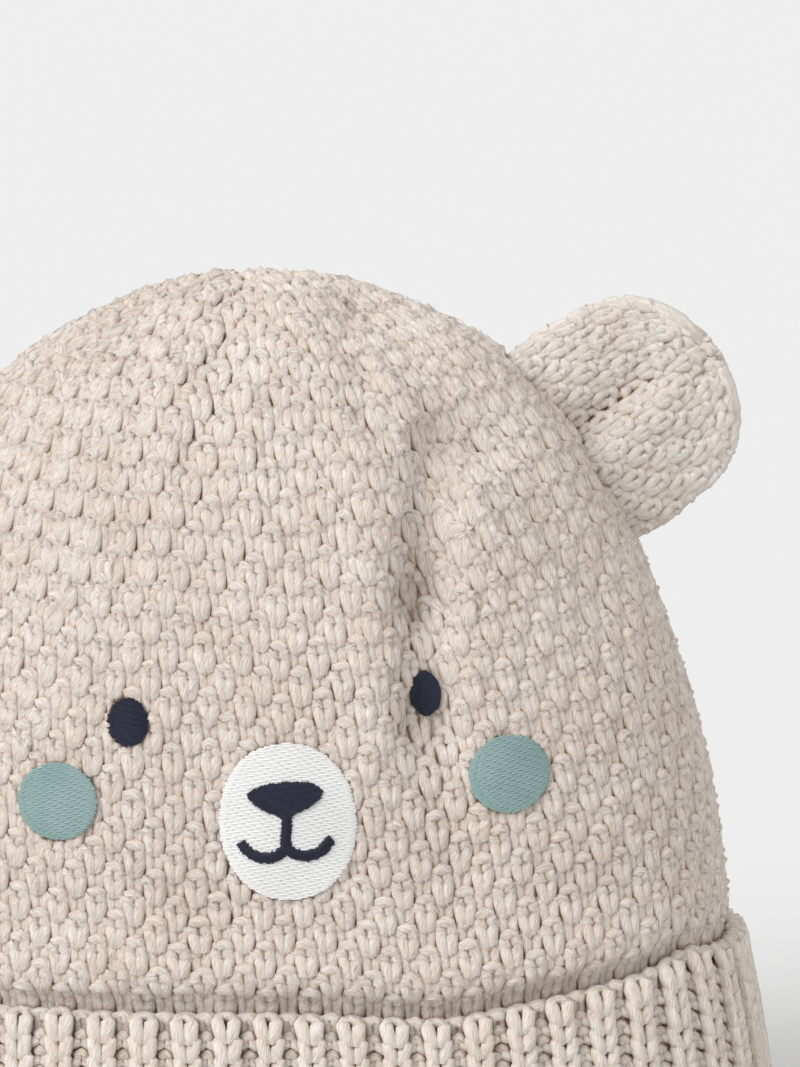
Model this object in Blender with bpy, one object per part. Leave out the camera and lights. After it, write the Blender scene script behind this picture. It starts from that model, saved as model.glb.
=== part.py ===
"""Knitted baby hat with two round ears, a turned-up ribbed cuff and an embroidered bear face.

Metres, +Z up. The front of the hat faces -Y and +X is to the right as one looks at the face. The origin is
on the surface that the hat stands on, under the middle of its outline. The hat is hollow and open below.
"""

import math
from collections import namedtuple

import bpy
import numpy as np
from mathutils import Matrix
from mathutils.bvhtree import BVHTree

# Whole hat
HAT_HEIGHT = 0.184
CROWN_HALF_WIDTH = 0.0874
CROWN_HALF_DEPTH = 0.0515
FIT_GAP = 0.0003

# Crown: a knitted dome. Its lower edge stands on the cuff's inner layer, behind the cuff's outer layer.
CROWN_WALL = 0.0032
CROWN_TUCK = 0.0014
CROWN_BELLY = 0.0032
BELLY_HEIGHT = 0.022
TUCK_HEIGHT = 0.0040
OVERHANG_HEIGHT = 0.0056
SEAM_BELOW_CUFF = 0.009
CROWN_COLUMNS = 88
CROWN_ROWS_OUTSIDE = 15
CROWN_ROWS_INSIDE = 7
HEM_ROWS = 4
FRONT_FINENESS = 0.25
GATHER_DEPTH = 0.0013
GATHER_LOBES = 9
GATHER_RADIUS = 0.016

# Cuff: a ribbed band folded up on the outside, so that it is two layers joined by a fold at the bottom
CUFF_HEIGHT = 0.046
CUFF_WALL = 0.0031
CUFF_FLARE = 0.0055
CUFF_FOLD_HEIGHT = 0.0034
CUFF_FLAT = 0.0022
CUFF_ROUNDING = 0.0011
RIB_COUNT = 56
RIB_DEPTH = 0.0011
COLUMNS_PER_RIB = 3

# Ears: two knitted layers sewn round their edge, pinched together where they meet the crown
EAR_WIDTH = 0.045
EAR_REACH = 0.0325
EAR_THICKNESS = 0.0100
EAR_EDGE_THICKNESS = 0.0045
EAR_STRAIGHT_REACH = 0.40
EAR_SQUARENESS = 2.15
EAR_SWELL = 0.04
EAR_UP_SHARE = 0.722
EAR_TURN = math.radians(31)
EAR_CREASE_DEPTH = 0.0032
EAR_CREASE_WIDTH = 0.0042
EAR_CREASE_REACH = 0.75
EAR_CREASE_UP = 0.0015
EAR_COLUMNS = 24
EAR_ROWS = 9
EAR_SEAT_RINGS = (0.35, 0.7)

# Embroidery: thread laid on the front of the crown
THREAD_HEIGHT = 0.0009
THREAD_EDGE_HEIGHT = 0.0005
THREAD_GAP = 0.0004
FACE_HEIGHT = 0.0808
MUZZLE_HALF_WIDTH = 0.0134
MUZZLE_HALF_HEIGHT = 0.0156
MUZZLE_SQUARENESS = 2.15
NOSE_HALF_WIDTH = 0.0073
NOSE_TOP = 0.0082
NOSE_BOTTOM = 0.0010
MOUTH_HALF_WIDTH = 0.0091
MOUTH_TOP = -0.0052
MOUTH_DROP = 0.0019
MOUTH_RISE = 0.0015
STROKE_WIDTH = 0.0018
EYE_HALF_WIDTH = 0.0036
EYE_HALF_HEIGHT = 0.0046
EYE_ACROSS = 0.0301
EYE_ABOVE_FACE = 0.0212
CHEEK_RADIUS = 0.0077
CHEEK_ACROSS = 0.0450
CHEEK_ABOVE_FACE = 0.0053
FACE_SLOPE_REACH = 0.0012

# The cuff's upper edge over the front, from left to right. Across is a share of the crown's half width and
# up a share of the cuff's height. Round the back the edge runs straight between the ends of the table.
Edge = namedtuple("Edge", "across up")
CUFF_EDGE = (
    Edge(-1.00, 1.030),
    Edge(-0.67, 1.000),
    Edge(-0.35, 0.965),
    Edge(0.00, 0.925),
    Edge(0.30, 0.865),
    Edge(0.45, 0.885),
    Edge(0.64, 0.925),
    Edge(0.79, 0.965),
    Edge(0.85, 1.005),
    Edge(0.90, 1.035),
    Edge(1.00, 1.050),
)

# The crown's outline. Up is a share of the height above the cuff; wide and deep are shares of the crown's
# half width and half depth; lean is a share of the half width, to the left; squareness is the exponent of
# the superellipse that the section is.
Section = namedtuple("Section", "up wide deep lean squareness")
CROWN_SECTIONS = (
    Section(0.000, 1.000, 1.000, 0.000, 2.6),
    Section(0.100, 0.994, 0.995, 0.002, 2.6),
    Section(0.220, 0.980, 0.985, 0.006, 2.5),
    Section(0.340, 0.950, 0.960, 0.011, 2.4),
    Section(0.460, 0.905, 0.920, 0.016, 2.3),
    Section(0.580, 0.848, 0.865, 0.020, 2.2),
    Section(0.700, 0.768, 0.790, 0.025, 2.2),
    Section(0.800, 0.668, 0.700, 0.029, 2.1),
    Section(0.885, 0.532, 0.575, 0.033, 2.1),
    Section(0.950, 0.342, 0.400, 0.036, 2.0),
    Section(0.987, 0.177, 0.205, 0.036, 2.0),
    Section(1.000, 0.000, 0.000, 0.036, 2.0),
)

# Folds of the crown, as lines seen from the front or from the back. Across is a share of the crown's half
# width and up a share of its height above the cuff; width and depth are shares of the half width, and a
# ridge has a depth under zero.
Fold = namedtuple("Fold", "side from_across from_up to_across to_up width depth")
FOLDS = (
    Fold("front", 0.385, 0.770, 0.332, 0.557, 0.062, 0.062),
    Fold("front", 0.332, 0.557, 0.325, 0.372, 0.062, 0.056),
    Fold("front", 0.325, 0.372, 0.375, 0.169, 0.080, 0.022),
    Fold("front", 0.235, 0.740, 0.215, 0.360, 0.085, -0.018),
    Fold("front", 0.245, 0.963, 0.490, 0.767, 0.060, 0.030),
    Fold("front", 0.490, 0.767, 0.744, 0.528, 0.075, 0.024),
    Fold("front", 0.188, 0.952, 0.268, 0.739, 0.045, 0.018),
    Fold("front", -0.050, 0.985, -0.188, 0.760, 0.055, 0.018),
    Fold("front", -0.295, 0.953, -0.325, 0.654, 0.060, 0.014),
    Fold("front", -0.167, 0.635, -0.195, 0.075, 0.120, 0.016),
    Fold("back", 0.060, 0.950, 0.090, 0.520, 0.060, 0.034),
    Fold("back", -0.260, 0.900, -0.360, 0.480, 0.070, 0.030),
    Fold("back", 0.400, 0.860, 0.480, 0.420, 0.080, 0.024),
    Fold("back", -0.100, 0.560, -0.080, 0.140, 0.120, 0.016),
)

# Colours as sRGB hex, with roughness
YARN = ("#D8CABD", 0.95)
RIB_YARN = ("#D3C4B6", 0.95)
WHITE_THREAD = ("#F1F0EE", 0.55)
NAVY_THREAD = ("#262A3A", 0.60)
GREEN_THREAD = ("#8FB0AC", 0.55)

CROWN_HEIGHT = HAT_HEIGHT - CUFF_HEIGHT
SEAM_HEIGHT = CUFF_HEIGHT * min(edge.up for edge in CUFF_EDGE) - SEAM_BELOW_CUFF
PROFILE_STEPS = 400


def clear_scene():
    for thing in list(bpy.data.objects):
        bpy.data.objects.remove(thing)


def yarn_material(name, finish):
    """A plain Principled material from an sRGB hex colour and a roughness."""
    hex_colour, roughness = finish
    srgb = [int(hex_colour[i : i + 2], 16) / 255 for i in (1, 3, 5)]
    linear = [c / 12.92 if c <= 0.04045 else ((c + 0.055) / 1.055) ** 2.4 for c in srgb]
    material = bpy.data.materials.new(name)
    material.use_nodes = True
    shader = material.node_tree.nodes["Principled BSDF"]
    shader.inputs["Base Color"].default_value = (*linear, 1)
    shader.inputs["Roughness"].default_value = roughness
    shader.inputs["Metallic"].default_value = 0
    return material


def add_solid(name, points, faces, material):
    mesh = bpy.data.meshes.new(name)
    mesh.from_pydata([tuple(p) for p in points], [], faces)
    mesh.materials.append(material)
    mesh.shade_smooth()
    mesh.set_sharp_from_angle(angle=math.radians(50))
    thing = bpy.data.objects.new(name, mesh)
    bpy.context.scene.collection.objects.link(thing)
    return thing


def ring_faces(first, second, columns):
    """Quads between two rings of points, which start at the given indices."""
    nexts = [(c + 1) % columns for c in range(columns)]
    return [(first + c, first + n, second + n, second + c) for c, n in enumerate(nexts)]


def capped_rings(start, rings, end):
    """A closed skin from a first point, over rings of points, to a last point."""
    columns = len(rings[0])
    points = [start, *np.concatenate(rings), end]
    last = len(points) - 1
    faces = [(0, 1 + (c + 1) % columns, 1 + c) for c in range(columns)]
    for r in range(len(rings) - 1):
        faces += ring_faces(1 + r * columns, 1 + (r + 1) * columns, columns)
    top = 1 + (len(rings) - 1) * columns
    faces += [(top + c, top + (c + 1) % columns, last) for c in range(columns)]
    return points, faces


def looped_rings(rings):
    """A closed skin over rings of points, the last ring joined to the first."""
    columns = len(rings[0])
    faces = []
    for r in range(len(rings)):
        faces += ring_faces(r * columns, (r + 1) % len(rings) * columns, columns)
    return np.concatenate(rings), faces


def smoothstep(x):
    x = np.clip(x, 0, 1)
    return x * x * (3 - 2 * x)


def smooth_curve(points, before, after, steps):
    """Catmull-Rom curve through rows of numbers, as steps + 1 rows. Before and after lie past its ends."""
    padded = np.vstack([before, points, after])
    where = np.linspace(0, len(points) - 1, steps + 1)
    k = np.minimum(where.astype(int), len(points) - 2)
    f = (where - k)[:, None]
    a, b, c, d = padded[k], padded[k + 1], padded[k + 2], padded[k + 3]
    cubic = (3 * b - a - 3 * c + d) * f**3 + (2 * a - 5 * b + 4 * c - d) * f**2
    return 0.5 * (cubic + (c - a) * f + 2 * b)


def smooth_sections():
    """The table of sections as a smooth curve, mirrored past the top, so that it ends round."""
    table = np.array([tuple(row) for row in CROWN_SECTIONS])
    return smooth_curve(table, 2 * table[0] - table[1], table[-2] * [1, -1, -1, 1, 1], PROFILE_STEPS)


def crown_profile():
    """Rows of (z, half width, half depth, lean, squareness) up the crown, evenly spaced along its side."""
    table = smooth_sections()
    z = CUFF_HEIGHT + table[:, 0] * CROWN_HEIGHT
    wide = np.maximum(table[:, 1], 0) * CROWN_HALF_WIDTH
    deep = np.maximum(table[:, 2], 0) * CROWN_HALF_DEPTH
    rows = np.column_stack([z, wide, deep, -table[:, 3] * CROWN_HALF_WIDTH, table[:, 4]])
    foot = rows[0].copy()
    foot[0] = SEAM_HEIGHT
    rows = np.vstack([foot, rows])
    length = np.concatenate([[0], np.cumsum(np.hypot(np.diff(rows[:, 0]), np.diff(rows[:, 1])))])
    even = np.linspace(0, length[-1], PROFILE_STEPS + 1)
    return np.column_stack([np.interp(even, length, rows[:, c]) for c in range(rows.shape[1])])


PROFILE = crown_profile()


def profile_at(climb):
    """Profile columns at climb, from 0 at the crown's lower edge to 1 at its top."""
    along = np.linspace(0, 1, len(PROFILE))
    return [np.interp(climb, along, PROFILE[:, c]) for c in range(PROFILE.shape[1])]


def climb_at_height(z):
    return np.interp(z, PROFILE[:, 0], np.linspace(0, 1, len(PROFILE)))


def section_radius(turn, wide, deep, squareness):
    """Distance from the middle to a superellipse's outline, at turn from the front."""
    wide, deep = np.maximum(wide, 1e-9), np.maximum(deep, 1e-9)
    across, along = np.abs(np.sin(turn)) / wide, np.abs(np.cos(turn)) / deep
    return (across**squareness + along**squareness) ** (-1 / squareness)


def smooth_crown(turn, climb):
    """The crown's outside before its folds: superellipse sections that narrow up the profile."""
    z, wide, deep, lean, squareness = profile_at(climb)
    radius = section_radius(turn, wide, deep, squareness)
    return np.stack([lean + radius * np.sin(turn), -radius * np.cos(turn), z + 0 * turn], -1)


def crown_normal(turn, climb):
    """Outward direction of the smooth crown, from the cross product of its two slopes."""
    step_turn, step_climb = 1e-3, 2e-3
    low, high = np.maximum(climb - step_climb, 0), np.minimum(climb + step_climb, 1 - 1e-4)
    along_turn = smooth_crown(turn + step_turn, climb) - smooth_crown(turn - step_turn, climb)
    along_climb = smooth_crown(turn, high) - smooth_crown(turn, low)
    normal = np.cross(along_turn, along_climb)
    return normal / np.linalg.norm(normal, axis=-1, keepdims=True)


def belly_share(turn):
    """1 over the front of the hat, falling to 0 just before its sides."""
    return smoothstep((np.cos(turn) - 0.2) / 0.35)


def cuff_top(turn):
    """Height of the cuff's upper edge: its table over the front, and level round the back."""
    across = smooth_crown(turn, 0 * turn)[..., 0] / CROWN_HALF_WIDTH
    edge = smooth_curve(np.array(CUFF_EDGE), CUFF_EDGE[0], CUFF_EDGE[-1], PROFILE_STEPS)
    over_front = np.interp(across, edge[:, 0], edge[:, 1])
    round_back = np.interp(across, edge[[0, -1], 0], edge[[0, -1], 1])
    return CUFF_HEIGHT * np.where(np.cos(turn) > 0, over_front, round_back)


def fold_depth(point, turn):
    """How far the folds push the crown in: a bell curve of the distance to each fold's line."""
    across = point[..., 0] / CROWN_HALF_WIDTH
    up = (point[..., 2] - CUFF_HEIGHT) / CROWN_HEIGHT
    tall = CROWN_HEIGHT / CROWN_HALF_WIDTH
    depth = np.zeros_like(across)
    for fold in FOLDS:
        line = np.array([fold.to_across - fold.from_across, (fold.to_up - fold.from_up) * tall])
        away = np.stack([across - fold.from_across, (up - fold.from_up) * tall], -1)
        share = np.clip(away @ line / (line @ line), 0, 1)
        distance = np.linalg.norm(away - share[..., None] * line, axis=-1)
        facing = np.cos(turn) if fold.side == "front" else -np.cos(turn)
        depth += fold.depth * np.exp(-((distance / fold.width) ** 2)) * smoothstep(facing / 0.4)
    return depth * CROWN_HALF_WIDTH


def gather_depth(point, turn):
    """Small radial pleats where the crown is drawn together at its top."""
    centre = PROFILE[-1, 3]
    near_top = np.exp(-(((point[..., 0] - centre) ** 2 + point[..., 1] ** 2) / GATHER_RADIUS**2))
    return GATHER_DEPTH * near_top * (1 + np.cos(GATHER_LOBES * turn))


def crown_outside(turn, climb):
    """The crown's outside: tucked in behind the cuff, bellied over it at the front, and folded."""
    turn, climb = np.broadcast_arrays(np.asarray(turn, float), np.asarray(climb, float))
    point, normal = smooth_crown(turn, climb), crown_normal(turn, climb)
    above = point[..., 2] - cuff_top(turn)
    clear = above - CUFF_ROUNDING
    tuck = CROWN_TUCK * (1 - smoothstep(clear / TUCK_HEIGHT))
    belly = CROWN_BELLY * smoothstep(clear / OVERHANG_HEIGHT) * (1 - smoothstep(above / BELLY_HEIGHT))
    push = belly * belly_share(turn) - tuck - fold_depth(point, turn) - gather_depth(point, turn)
    return point + push[..., None] * normal


def even_turns(count, fineness=0.0):
    """Turns from the front that divide the crown's widest section evenly, or more finely over its front."""
    fine = np.linspace(0, 2 * math.pi, 1441)
    ring = smooth_crown(fine, np.zeros_like(fine))
    weight = 1 + fineness * np.cos((fine[1:] + fine[:-1]) / 2)
    length = np.concatenate([[0], np.cumsum(weight * np.linalg.norm(np.diff(ring, axis=0), axis=1))])
    return np.interp(np.arange(count) / count * length[-1], length, fine)


def crown_rings(turns, climbs, inwards):
    return [crown_outside(turns, climb) - inwards * crown_normal(turns, climb) for climb in climbs]


def build_crown(material):
    """Inner and outer walls as one skin. The hem rows follow the cuff's edge, which the crown hangs over."""
    turns = even_turns(CROWN_COLUMNS, FRONT_FINENESS)
    foot = np.zeros((1, CROWN_COLUMNS))
    hem = climb_at_height(cuff_top(turns) + np.linspace(0, OVERHANG_HEIGHT * 1.6, HEM_ROWS)[:, None])
    outside = np.linspace(hem[-1], 1, CROWN_ROWS_OUTSIDE + 1, endpoint=False)[1:]
    inside = np.linspace(hem[-1], 1, CROWN_ROWS_INSIDE + 1, endpoint=False)
    outer = crown_rings(turns, np.concatenate([foot, hem, outside]), 0)
    inner = crown_rings(turns, np.concatenate([foot, inside]), CROWN_WALL)
    for ring in (inner[0], outer[0]):
        ring[:, 2] = SEAM_HEIGHT
    top = smooth_crown(np.array(0.0), np.array(1.0)) - [0, 0, GATHER_DEPTH]
    points, faces = capped_rings(top - [0, 0, CROWN_WALL], inner[::-1] + outer, top)
    return add_solid("crown", points, faces, material)


def cuff_rib(columns):
    """1 on the crest of each rib and 0 in the groove between two ribs."""
    phase = np.arange(columns) % COLUMNS_PER_RIB / COLUMNS_PER_RIB
    return np.abs(np.sin(math.pi * phase)) / math.sin(math.pi / COLUMNS_PER_RIB)


def cuff_ring(turns, offset, z):
    """One ring of the cuff: the crown's lowest section, moved outwards by offset."""
    ring = smooth_crown(turns, np.zeros(len(turns)))[:, :2]
    forward = np.roll(ring, -1, axis=0) - np.roll(ring, 1, axis=0)
    outward = np.stack([-forward[:, 1], forward[:, 0]], -1)
    outward *= -1 / np.linalg.norm(outward, axis=1, keepdims=True)
    ring = ring + outward * np.reshape(offset, (-1, 1))
    return np.column_stack([ring, np.broadcast_to(z, len(turns))])


def build_cuff(material):
    """Outer layer, fold and inner layer as one closed ring, which leans out more and more below its top."""
    columns = RIB_COUNT * COLUMNS_PER_RIB
    turns = even_turns(columns)
    groove = RIB_DEPTH * (1 - cuff_rib(columns))
    top = cuff_top(turns)

    def flare(z):
        return CUFF_FLARE * (1 - np.clip(z / CUFF_HEIGHT, 0, 1)) ** 0.8

    inner_face = FIT_GAP - CROWN_TUCK
    outer_face = inner_face + CUFF_WALL
    slot_floor = CUFF_FOLD_HEIGHT + CUFF_ROUNDING
    slot_middle = inner_face + flare(slot_floor) - FIT_GAP
    back_face = -CROWN_TUCK - CUFF_WALL
    seat = SEAM_HEIGHT - FIT_GAP
    middle = (outer_face + back_face) / 2 + flare(0)
    rings = [
        cuff_ring(turns, outer_face - CUFF_ROUNDING - groove * 0.5, top),
        cuff_ring(turns, outer_face + flare(top - CUFF_ROUNDING) - groove, top - CUFF_ROUNDING),
        cuff_ring(turns, outer_face + flare(top * 0.5) - groove, top * 0.5),
        cuff_ring(turns, outer_face + flare(CUFF_FOLD_HEIGHT) - groove, CUFF_FOLD_HEIGHT),
        cuff_ring(turns, middle + CUFF_FLAT / 2 - groove * 0.3, 0),
        cuff_ring(turns, middle - CUFF_FLAT / 2, 0),
        cuff_ring(turns, back_face + flare(CUFF_FOLD_HEIGHT), CUFF_FOLD_HEIGHT),
        cuff_ring(turns, back_face + flare(seat), seat),
        cuff_ring(turns, -CROWN_TUCK + flare(seat) * 0.2, seat),
        cuff_ring(turns, slot_middle, slot_floor),
        cuff_ring(turns, inner_face + flare(seat) * 0.6, seat),
        cuff_ring(turns, inner_face, top - CUFF_ROUNDING),
        cuff_ring(turns, inner_face + CUFF_ROUNDING, top),
    ]
    points, faces = looped_rings(rings[::-1])
    return add_solid("cuff", points, faces, material)


def crown_distance(origin, direction):
    """Distance along direction from a point inside the smooth crown to its outside, by bisection."""
    near, far = np.zeros(len(origin)), np.full(len(origin), CROWN_HALF_WIDTH * 2)
    for _ in range(40):
        middle = (near + far) / 2
        x, y, z = (origin + middle[:, None] * direction).T
        _, wide, deep, lean, squareness = profile_at(climb_at_height(z))
        reach = section_radius(np.arctan2(x - lean, -y), wide, deep, squareness)
        inside = (np.hypot(x - lean, y) < reach) & (z < HAT_HEIGHT)
        near, far = np.where(inside, middle, near), np.where(inside, far, middle)
    return near


class EarFrame:
    """Where an ear grows from the crown: a point inside it, the way out, and the way along the seam."""

    def __init__(self, side):
        z = CUFF_HEIGHT + EAR_UP_SHARE * CROWN_HEIGHT
        _, wide, _, lean, _ = profile_at(climb_at_height(z))
        self.out = np.array([side * math.cos(EAR_TURN), 0, math.sin(EAR_TURN)])
        self.along = np.array([-side * math.sin(EAR_TURN), 0, math.cos(EAR_TURN)])
        self.middle = np.array([lean + side * wide, 0, z])
        self.inside = self.middle - self.out * CROWN_HALF_WIDTH * 0.35

    def seat(self, along, forward):
        """Distance out from the inside point to the crown's outside, for places along and off the seam."""
        origin = self.inside + np.outer(along, self.along) + np.outer(forward, [0, -1, 0])
        return crown_distance(origin, self.out)

    def point(self, along, forward, out):
        places = self.inside + np.outer(along, self.along) + np.outer(forward, [0, -1, 0])
        return places + out[:, None] * self.out


def ear_ring(frame, share, scale):
    """One oval ring round the ear, at a share of its reach. A scale under 1 gives rings inside its seat."""
    around = np.arange(EAR_COLUMNS) / EAR_COLUMNS * 2 * math.pi
    past_straight = max(0.0, share - EAR_STRAIGHT_REACH) / (1 - EAR_STRAIGHT_REACH)
    swell = 1 + EAR_SWELL * math.sin(math.pi * min(share / EAR_STRAIGHT_REACH, 1))
    half_width = EAR_WIDTH / 2 * swell * (1 - past_straight**EAR_SQUARENESS) ** (1 / EAR_SQUARENESS)
    half_thick = (EAR_EDGE_THICKNESS + (EAR_THICKNESS - EAR_EDGE_THICKNESS) * (1 - share)) / 2
    half_thick *= math.sqrt(1 - share**6)
    along = half_width * scale * np.sign(np.cos(around)) * np.abs(np.cos(around)) ** 1.25
    forward = half_thick * scale * np.sign(np.sin(around)) * np.abs(np.sin(around)) ** 0.75
    off_crease = (along - EAR_CREASE_UP) / EAR_CREASE_WIDTH
    in_crease = np.exp(-(off_crease**2)) * (1 - smoothstep(share / EAR_CREASE_REACH))
    crease = np.where(forward > 0, 1, 0.5) * EAR_CREASE_DEPTH * in_crease * scale
    forward = np.sign(forward) * np.maximum(np.abs(forward) - crease, 0)
    seated = frame.seat(along, forward) + FIT_GAP
    level = frame.seat(np.zeros(1), np.zeros(1))[0]
    out = seated + (level - seated) * smoothstep(share) + EAR_REACH * share
    return frame.point(along, forward, out)


def build_ear(name, side, material):
    frame = EarFrame(side)
    shares = np.sin(np.linspace(0, 1, EAR_ROWS + 1)[:-1] * math.pi / 2) * 0.985
    rings = [ear_ring(frame, 0, scale) for scale in EAR_SEAT_RINGS]
    rings += [ear_ring(frame, share, 1) for share in shares]
    nought = np.zeros(1)
    level = frame.seat(nought, nought)
    seat_middle = frame.point(nought, nought, level + FIT_GAP)[0]
    tip = frame.point(nought, nought, level + EAR_REACH)[0]
    if side < 0:
        rings = [ring[::-1] for ring in rings]
    points, faces = capped_rings(seat_middle, rings, tip)
    return add_solid(name, points, faces, material)


class Front:
    """The front of the finished crown, on which the face is sewn."""

    def __init__(self, crown):
        mesh = crown.data
        corners = [vertex.co[:] for vertex in mesh.vertices]
        self.tree = BVHTree.FromPolygons(corners, [polygon.vertices[:] for polygon in mesh.polygons])

    def hit(self, across, z):
        """Points of the crown straight behind places on the front."""
        starts = [(x, -2 * CROWN_HALF_DEPTH, height) for x, height in zip(across, z)]
        return np.array([self.tree.ray_cast(start, (0, 1, 0))[0][:] for start in starts])

    def point(self, across, z, height):
        """Points at a height over the crown, out along the slope that it has around each place."""
        step = FACE_SLOPE_REACH
        sideways = self.hit(across + step, z) - self.hit(across - step, z)
        upwards = self.hit(across, z + step) - self.hit(across, z - step)
        normal = np.cross(sideways, upwards)
        normal /= np.linalg.norm(normal, axis=1, keepdims=True)
        return self.hit(across, z) + height * normal


def build_patch(front, name, outline, across, z, base, material):
    """A thin pad of thread with a star-shaped outline, following the crown at a height of base over it."""
    under, edge, over = base, base + THREAD_EDGE_HEIGHT, base + THREAD_HEIGHT
    rings = [
        front.point(across + outline[:, 0] * scale, z + outline[:, 1] * scale, height)
        for scale, height in ((0.5, under), (1.0, under), (1.0, edge), (0.93, over), (0.5, over))
    ]
    centre_x, centre_z = np.array([across]), np.array([z])
    start, end = (front.point(centre_x, centre_z, height)[0] for height in (under, over))
    points, faces = capped_rings(start, rings, end)
    return add_solid(name, points, faces, material)


def oval(half_width, half_height, count, roundness=2.0):
    """Outline of an oval, counted round from the right, seen from the front."""
    around = np.arange(count) / count * 2 * math.pi
    power = 2 / roundness
    x = half_width * np.sign(np.cos(around)) * np.abs(np.cos(around)) ** power
    z = half_height * np.sign(np.sin(around)) * np.abs(np.sin(around)) ** power
    return np.column_stack([x, z])


def nose_outline():
    """A rounded triangle with a flat top and its point down, about the nose's middle."""
    top = [(0.60, 0.50), (0.88, 0.41), (1.00, 0.17)]
    point = [(0.86, -0.06), (0.48, -0.34), (0.15, -0.47), (0.00, -0.50)]
    right = np.array(top + point) * [NOSE_HALF_WIDTH, NOSE_TOP - NOSE_BOTTOM]
    left = right[-2::-1] * [-1, 1]
    return np.vstack([right, left])[::-1]


def mouth_line():
    """The mouth's centre line: two curls that meet in a low peak under the nose."""
    right = [(0.18, -0.50), (0.43, -1.00), (0.76, -0.42), (1.00, MOUTH_RISE / MOUTH_DROP)]
    shares = [(-x, z) for x, z in right[::-1]] + [(0.0, 0.0)] + right
    places = np.array(shares) * [MOUTH_HALF_WIDTH, MOUTH_DROP] + [0, MOUTH_TOP]
    return smooth_curve(places, 2 * places[0] - places[1], 2 * places[-1] - places[-2], 22)


def build_stroke(front, name, line, base, material):
    """A raised line of thread: a low arch carried along a line on the face."""
    ahead = np.gradient(line, axis=0)
    ahead /= np.linalg.norm(ahead, axis=1, keepdims=True)
    aside = np.column_stack([-ahead[:, 1], ahead[:, 0]])
    half = STROKE_WIDTH / 2
    under, edge, over = base, base + THREAD_EDGE_HEIGHT, base + THREAD_HEIGHT
    right_side = [(half, under), (half, edge), (half * 0.4, over)]
    shape = right_side + [(-offset, height) for offset, height in right_side[::-1]]
    places = [line + aside * offset for offset, _ in shape]
    strands = [
        front.point(place[:, 0], FACE_HEIGHT + place[:, 1], height)
        for place, (_, height) in zip(places, shape)
    ]
    rings = list(np.stack(strands, 1))
    points, faces = capped_rings(rings[0].mean(0), rings, rings[-1].mean(0))
    return add_solid(name, points, faces, material)


def build_face(crown, white, navy, green):
    """Muzzle, nose and mouth, eyes and cheeks, each its own pad or line of thread."""
    front = Front(crown)
    on_knit = THREAD_GAP
    on_muzzle = 2 * THREAD_GAP + THREAD_HEIGHT
    muzzle = oval(MUZZLE_HALF_WIDTH, MUZZLE_HALF_HEIGHT, 28, MUZZLE_SQUARENESS)
    build_patch(front, "muzzle", muzzle, 0.0, FACE_HEIGHT, on_knit, white)
    nose_middle = FACE_HEIGHT + (NOSE_TOP + NOSE_BOTTOM) / 2
    build_patch(front, "nose", nose_outline(), 0.0, nose_middle, on_muzzle, navy)
    nose_line = np.linspace((0, NOSE_BOTTOM - FIT_GAP), (0, MOUTH_TOP + STROKE_WIDTH / 2 + FIT_GAP), 4)
    build_stroke(front, "nose_line", nose_line, on_muzzle, navy)
    build_stroke(front, "mouth", mouth_line(), on_muzzle, navy)
    eye = oval(EYE_HALF_WIDTH, EYE_HALF_HEIGHT, 14)
    cheek = oval(CHEEK_RADIUS, CHEEK_RADIUS, 20)
    eye_height = FACE_HEIGHT + EYE_ABOVE_FACE
    cheek_height = FACE_HEIGHT + CHEEK_ABOVE_FACE
    for word, side in (("left", -1), ("right", 1)):
        build_patch(front, f"eye_{word}", eye, side * EYE_ACROSS, eye_height, on_knit, navy)
        build_patch(front, f"cheek_{word}", cheek, side * CHEEK_ACROSS, cheek_height, on_knit, green)


def stand_on_origin(things):
    """Moves the whole hat so that the origin is under the middle of its outline, where it stands."""
    corners = np.concatenate([[vertex.co[:] for vertex in thing.data.vertices] for thing in things])
    low, high = corners.min(0), corners.max(0)
    shift = Matrix.Translation((-(low[0] + high[0]) / 2, -(low[1] + high[1]) / 2, -low[2]))
    for thing in things:
        thing.data.transform(shift)


def build_hat():
    clear_scene()
    yarn = yarn_material("moss_knit_yarn", YARN)
    crown = build_crown(yarn)
    build_cuff(yarn_material("rib_knit_yarn", RIB_YARN))
    build_ear("ear_left", -1, yarn)
    build_ear("ear_right", 1, yarn)
    build_face(
        crown,
        yarn_material("white_thread", WHITE_THREAD),
        yarn_material("navy_thread", NAVY_THREAD),
        yarn_material("green_thread", GREEN_THREAD),
    )
    stand_on_origin(bpy.data.objects)


build_hat()
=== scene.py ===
"""A knitted baby hat with round ears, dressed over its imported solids: seed stitch yarn on the crown and the
ears, one by one rib on the turned-up cuff, and an embroidered bear face."""

import math
from collections import namedtuple
import bpy
import numpy as np
from mathutils import Matrix, Vector


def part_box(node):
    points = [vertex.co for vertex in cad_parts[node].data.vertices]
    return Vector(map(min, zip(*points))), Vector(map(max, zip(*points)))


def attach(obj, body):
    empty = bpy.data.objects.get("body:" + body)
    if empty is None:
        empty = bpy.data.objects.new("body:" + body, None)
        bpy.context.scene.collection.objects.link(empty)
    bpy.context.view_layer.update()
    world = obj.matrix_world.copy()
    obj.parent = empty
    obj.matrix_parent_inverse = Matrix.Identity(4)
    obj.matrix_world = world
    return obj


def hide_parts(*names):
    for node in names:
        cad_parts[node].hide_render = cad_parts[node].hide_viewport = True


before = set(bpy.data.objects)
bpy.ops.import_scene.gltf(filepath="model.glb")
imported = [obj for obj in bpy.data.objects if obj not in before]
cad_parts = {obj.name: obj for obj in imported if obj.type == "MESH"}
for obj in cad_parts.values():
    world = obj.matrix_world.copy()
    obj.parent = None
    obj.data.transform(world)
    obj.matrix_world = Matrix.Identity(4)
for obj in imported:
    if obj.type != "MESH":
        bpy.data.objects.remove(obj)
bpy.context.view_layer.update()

MM = 0.001
TAU = 2 * math.pi

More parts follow.
